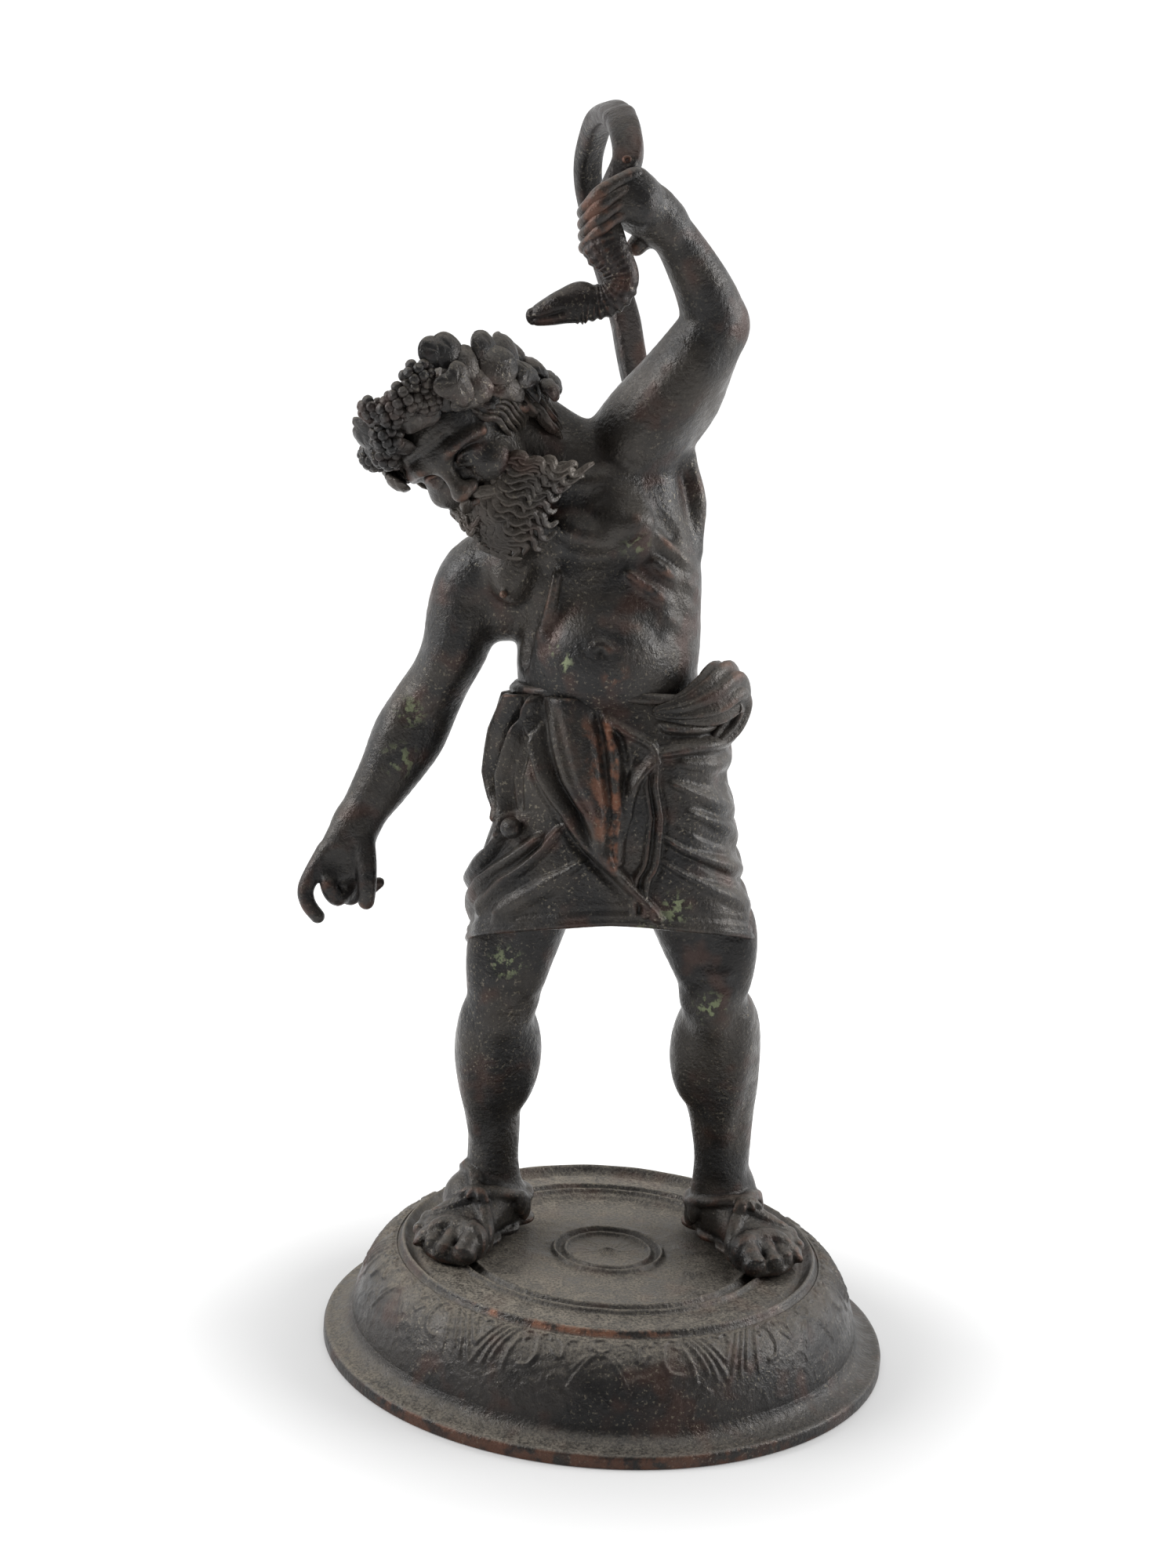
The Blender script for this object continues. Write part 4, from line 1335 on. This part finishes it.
# The snake: an oval section carried from its nose through the fist and round the hoop
snakeShape = {
    # the collar's millimetres along, and x, y, z and radius of the eyes and the rivet
    "halfWidth": 6.7, "halfDepth": 5.0, "collar": 138,
    "eyes": [(-50.5, -57.2, 455.6, 1.6), (-50.5, -46.8, 455.6, 1.6)], "rivet": (-24.2, -38.6, 516.0, 2.4),
    # x, y, z, and shares of the half width and half depth
    "line": [(-60.2, -52, 448.2, 0.56, 0.6), (-58, -52, 448.8, 0.7, 0.85), (-53, -52, 450.8, 0.92, 1.1),
             (-47, -52, 453.3, 1.12, 1.3),
             (-40, -51, 455.4, 1.34, 1.4), (-34, -50, 455.8, 1.12, 1.3), (-28.5, -50, 457.2, 1.06, 1.3),
             (-24, -50, 461.5, 1.06, 1.3),
             (-23, -49.5, 467.5, 1.1, 1.3), (-26.3, -49.5, 473.5, 1.24, 1.35), (-30.6, -49, 479, 1.42, 1.35),
             (-32.6, -46, 485, 1.36, 1.25), (-34, -42, 491, 1.05, 1.15), (-32.3, -40, 497, 0.95, 1.05),
             (-28, -38, 506.8, 0.92, 1),
             (-24.8, -35, 514, 0.95, 1), (-24.2, -31, 519.2, 1, 1), (-25.4, -24, 525.5, 1.04, 1),
             (-28.3, -11, 532.4, 1.04, 1),
             (-34, 10, 536.5, 1, 0.95), (-39.3, 32, 533, 1, 0.95), (-42.8, 49, 523, 0.95, 1),
             (-44.3, 58, 513.6, 0.95, 1),
             (-43.5, 64, 502.9, 0.95, 1), (-39.3, 68, 487.9, 0.98, 1), (-32, 67, 466.5, 1, 1.05),
             (-26, 63, 452.5, 1.02, 1.1),
             (-22, 57, 442, 1.03, 1.1), (-19.3, 50, 431.8, 1.02, 1.1), (-16, 41, 419.8, 0.98, 1.05),
             (-12.6, 31, 408, 0.85, 0.9),
             (-11, 22, 397, 0.6, 0.65)],
}


def snakeShell(shape):
    # radius(turn, s) = 1, with belly ridges, scales, a mouth slit and a squarer section along the hoop
    turn = fullTurn(48)[None, :]
    facing = np.abs((turn + np.pi) % (2 * np.pi) - np.pi)

    def along(s, begin, end, soft=3.0):
        return np.clip((s - begin) / soft, 0, 1) * np.clip((end - s) / soft, 0, 1)

    def section(s):
        power = 2 + 1.3 * along(s, 92, 400, 10)
        reach = (np.abs(np.cos(turn)) ** power + np.abs(np.sin(turn)) ** power) ** (-1 / power)
        u, v = np.cos(turn) * reach, np.sin(turn) * reach
        # belly ridges 2.9 mm apart, and scales 2.6 mm long on the back and sides
        ridges = 0.06 * np.sin(2 * np.pi * s / 2.9) * along(s, 19, 47) * np.clip((facing - 1.5) / 0.5, 0, 1)
        scales = 0.075 * np.sin(np.pi * s / 2.6 + 6 * turn) * np.sin(np.pi * s / 2.6 - 6 * turn)
        scales = scales * along(s, 30, 84) * np.clip((2.3 - facing) / 0.5, 0, 1)
        mouth = -0.3 * np.exp(-((facing - 1.85) / 0.15) ** 2) * along(s, 0.5, 18, 1.5)
        brow = 0.10 * np.exp(-((facing - 0.85) / 0.3) ** 2 - ((s - 14) / 3.5) ** 2)
        nostril = -0.12 * np.exp(-((facing - 1.1) / 0.2) ** 2 - ((s - 3.2) / 1.0) ** 2)
        collar = 0.07 * along(s, shape["collar"] - 3, shape["collar"] + 3, 1.2)
        size = 1 + ridges + scales + mouth + brow + nostril + collar
        return u * size, v * size

    rows = [(x, y, z, w * shape["halfWidth"], d * shape["halfDepth"]) for x, y, z, w, d in shape["line"]]
    return domedShell(rows, (0, 0, 1), section, 14, (20, 40, 58, 72, 84))


snakeShells = [snakeShell(snakeShape)]
for x, y, z, radius in snakeShape["eyes"] + [snakeShape["rivet"]]:
    snakeShells.append(berryShell(np.array((x, y, z)), unit((0, -1 if z > 500 else np.sign(y + 51), 0.3)), radius))
snake = joined(snakeShells)
# its head and neck are dustier and a little rubbed
x, y, z = snake["points"].T
headward = np.clip((-22 - x) / 12, 0, 1) * (z < 492) * (y < -30)
buildPiece("snakeBody", snake, "snake", snakeBronze, 1.6, 0.8, 0.12 * headward, np.clip(1 + 2.5 * headward, 0, 3))

# The floor and light: a white sweep under soft overhead and side panels
studio = {"floor": "#bcbcbc",
          # the floor's lift to white at two distances from the axis, in metres
          "glow": (0.12, 0.64), "glowReach": (0.135, 0.31),
          # the sweep's strength before and behind, and the directions between which it changes
          "before": 0.21, "behind": 1.15, "turning": (-0.7, 0.45),
          # place, size, power
          "panels": [((-1.35, -0.2, 1.0), 0.9, 20), ((1.4, 0.15, 0.8), 0.9, 18), ((0.1, -0.3, 2.1), 1.0, 8)],
          "aim": (0, 0, 0.3)}


def softRange(tree, value, fromRange, toRange):
    return addNode(tree, "ShaderNodeMapRange", {"Value": value, "From Min": fromRange[0], "From Max": fromRange[1],
                                                "To Min": toRange[0], "To Max": toRange[1]},
                   interpolation_type="SMOOTHSTEP").outputs[0]


def makeFloor(look):
    mesh = bpy.data.meshes.new("floorSheet")
    mesh.from_pydata([(-14, -14, 0), (14, -14, 0), (14, 14, 0), (-14, 14, 0)], [], [(0, 1, 2, 3)])
    floor = bpy.data.objects.new("floorSheet", mesh)
    bpy.context.scene.collection.objects.link(floor)
    paper = bpy.data.materials.new("matteWhitePaper")
    paper.use_nodes = True
    sheet = paper.node_tree
    shader = sheet.nodes["Principled BSDF"]
    shader.inputs["Base Color"].default_value = linear(look["floor"])
    shader.inputs["Roughness"].default_value = 0.9
    shader.inputs["Emission Color"].default_value = (1, 1, 1, 1)
    # the sheet is lifted to white away from the plinth, so that only the soft shadow round its rim shows
    spot = addNode(sheet, "ShaderNodeTexCoord").outputs["Object"]
    far = addNode(sheet, "ShaderNodeVectorMath", {0: spot}, operation="LENGTH").outputs["Value"]
    sheet.links.new(softRange(sheet, far, look["glowReach"], look["glow"]), shader.inputs["Emission Strength"])
    mesh.materials.append(paper)


def makeLight(look):
    world = bpy.data.worlds.new("studio")
    bpy.context.scene.world = world
    world.use_nodes = True
    # a white sweep behind the figure and overhead, falling off to the darker room before it
    tree = world.node_tree
    background = tree.nodes["Background"]
    towards = addNode(tree, "ShaderNodeSeparateXYZ", {0: addNode(tree, "ShaderNodeTexCoord").outputs["Generated"]})
    white = softRange(tree, towards.outputs["Y"], look["turning"], (look["before"], look["behind"]))
    tree.links.new(white, background.inputs["Strength"])
    background.inputs["Color"].default_value = (1, 1, 1, 1)
    for number, (place, size, power) in enumerate(look["panels"]):
        data = bpy.data.lights.new("panel%d" % number, "AREA")
        data.shape = "DISK"
        data.size, data.energy = size, power
        lamp = bpy.data.objects.new("panel%d" % number, data)
        bpy.context.scene.collection.objects.link(lamp)
        aim = unit(np.array(look["aim"]) - np.array(place))
        side = unit(np.cross(aim, (0, 0, 1)))
        turn = Matrix((side, np.cross(side, aim), -aim)).transposed().to_4x4()
        lamp.matrix_world = Matrix.Translation(place) @ turn


makeFloor(studio)
makeLight(studio)
bpy.context.scene.view_settings.view_transform = "Standard"
print("studio made")
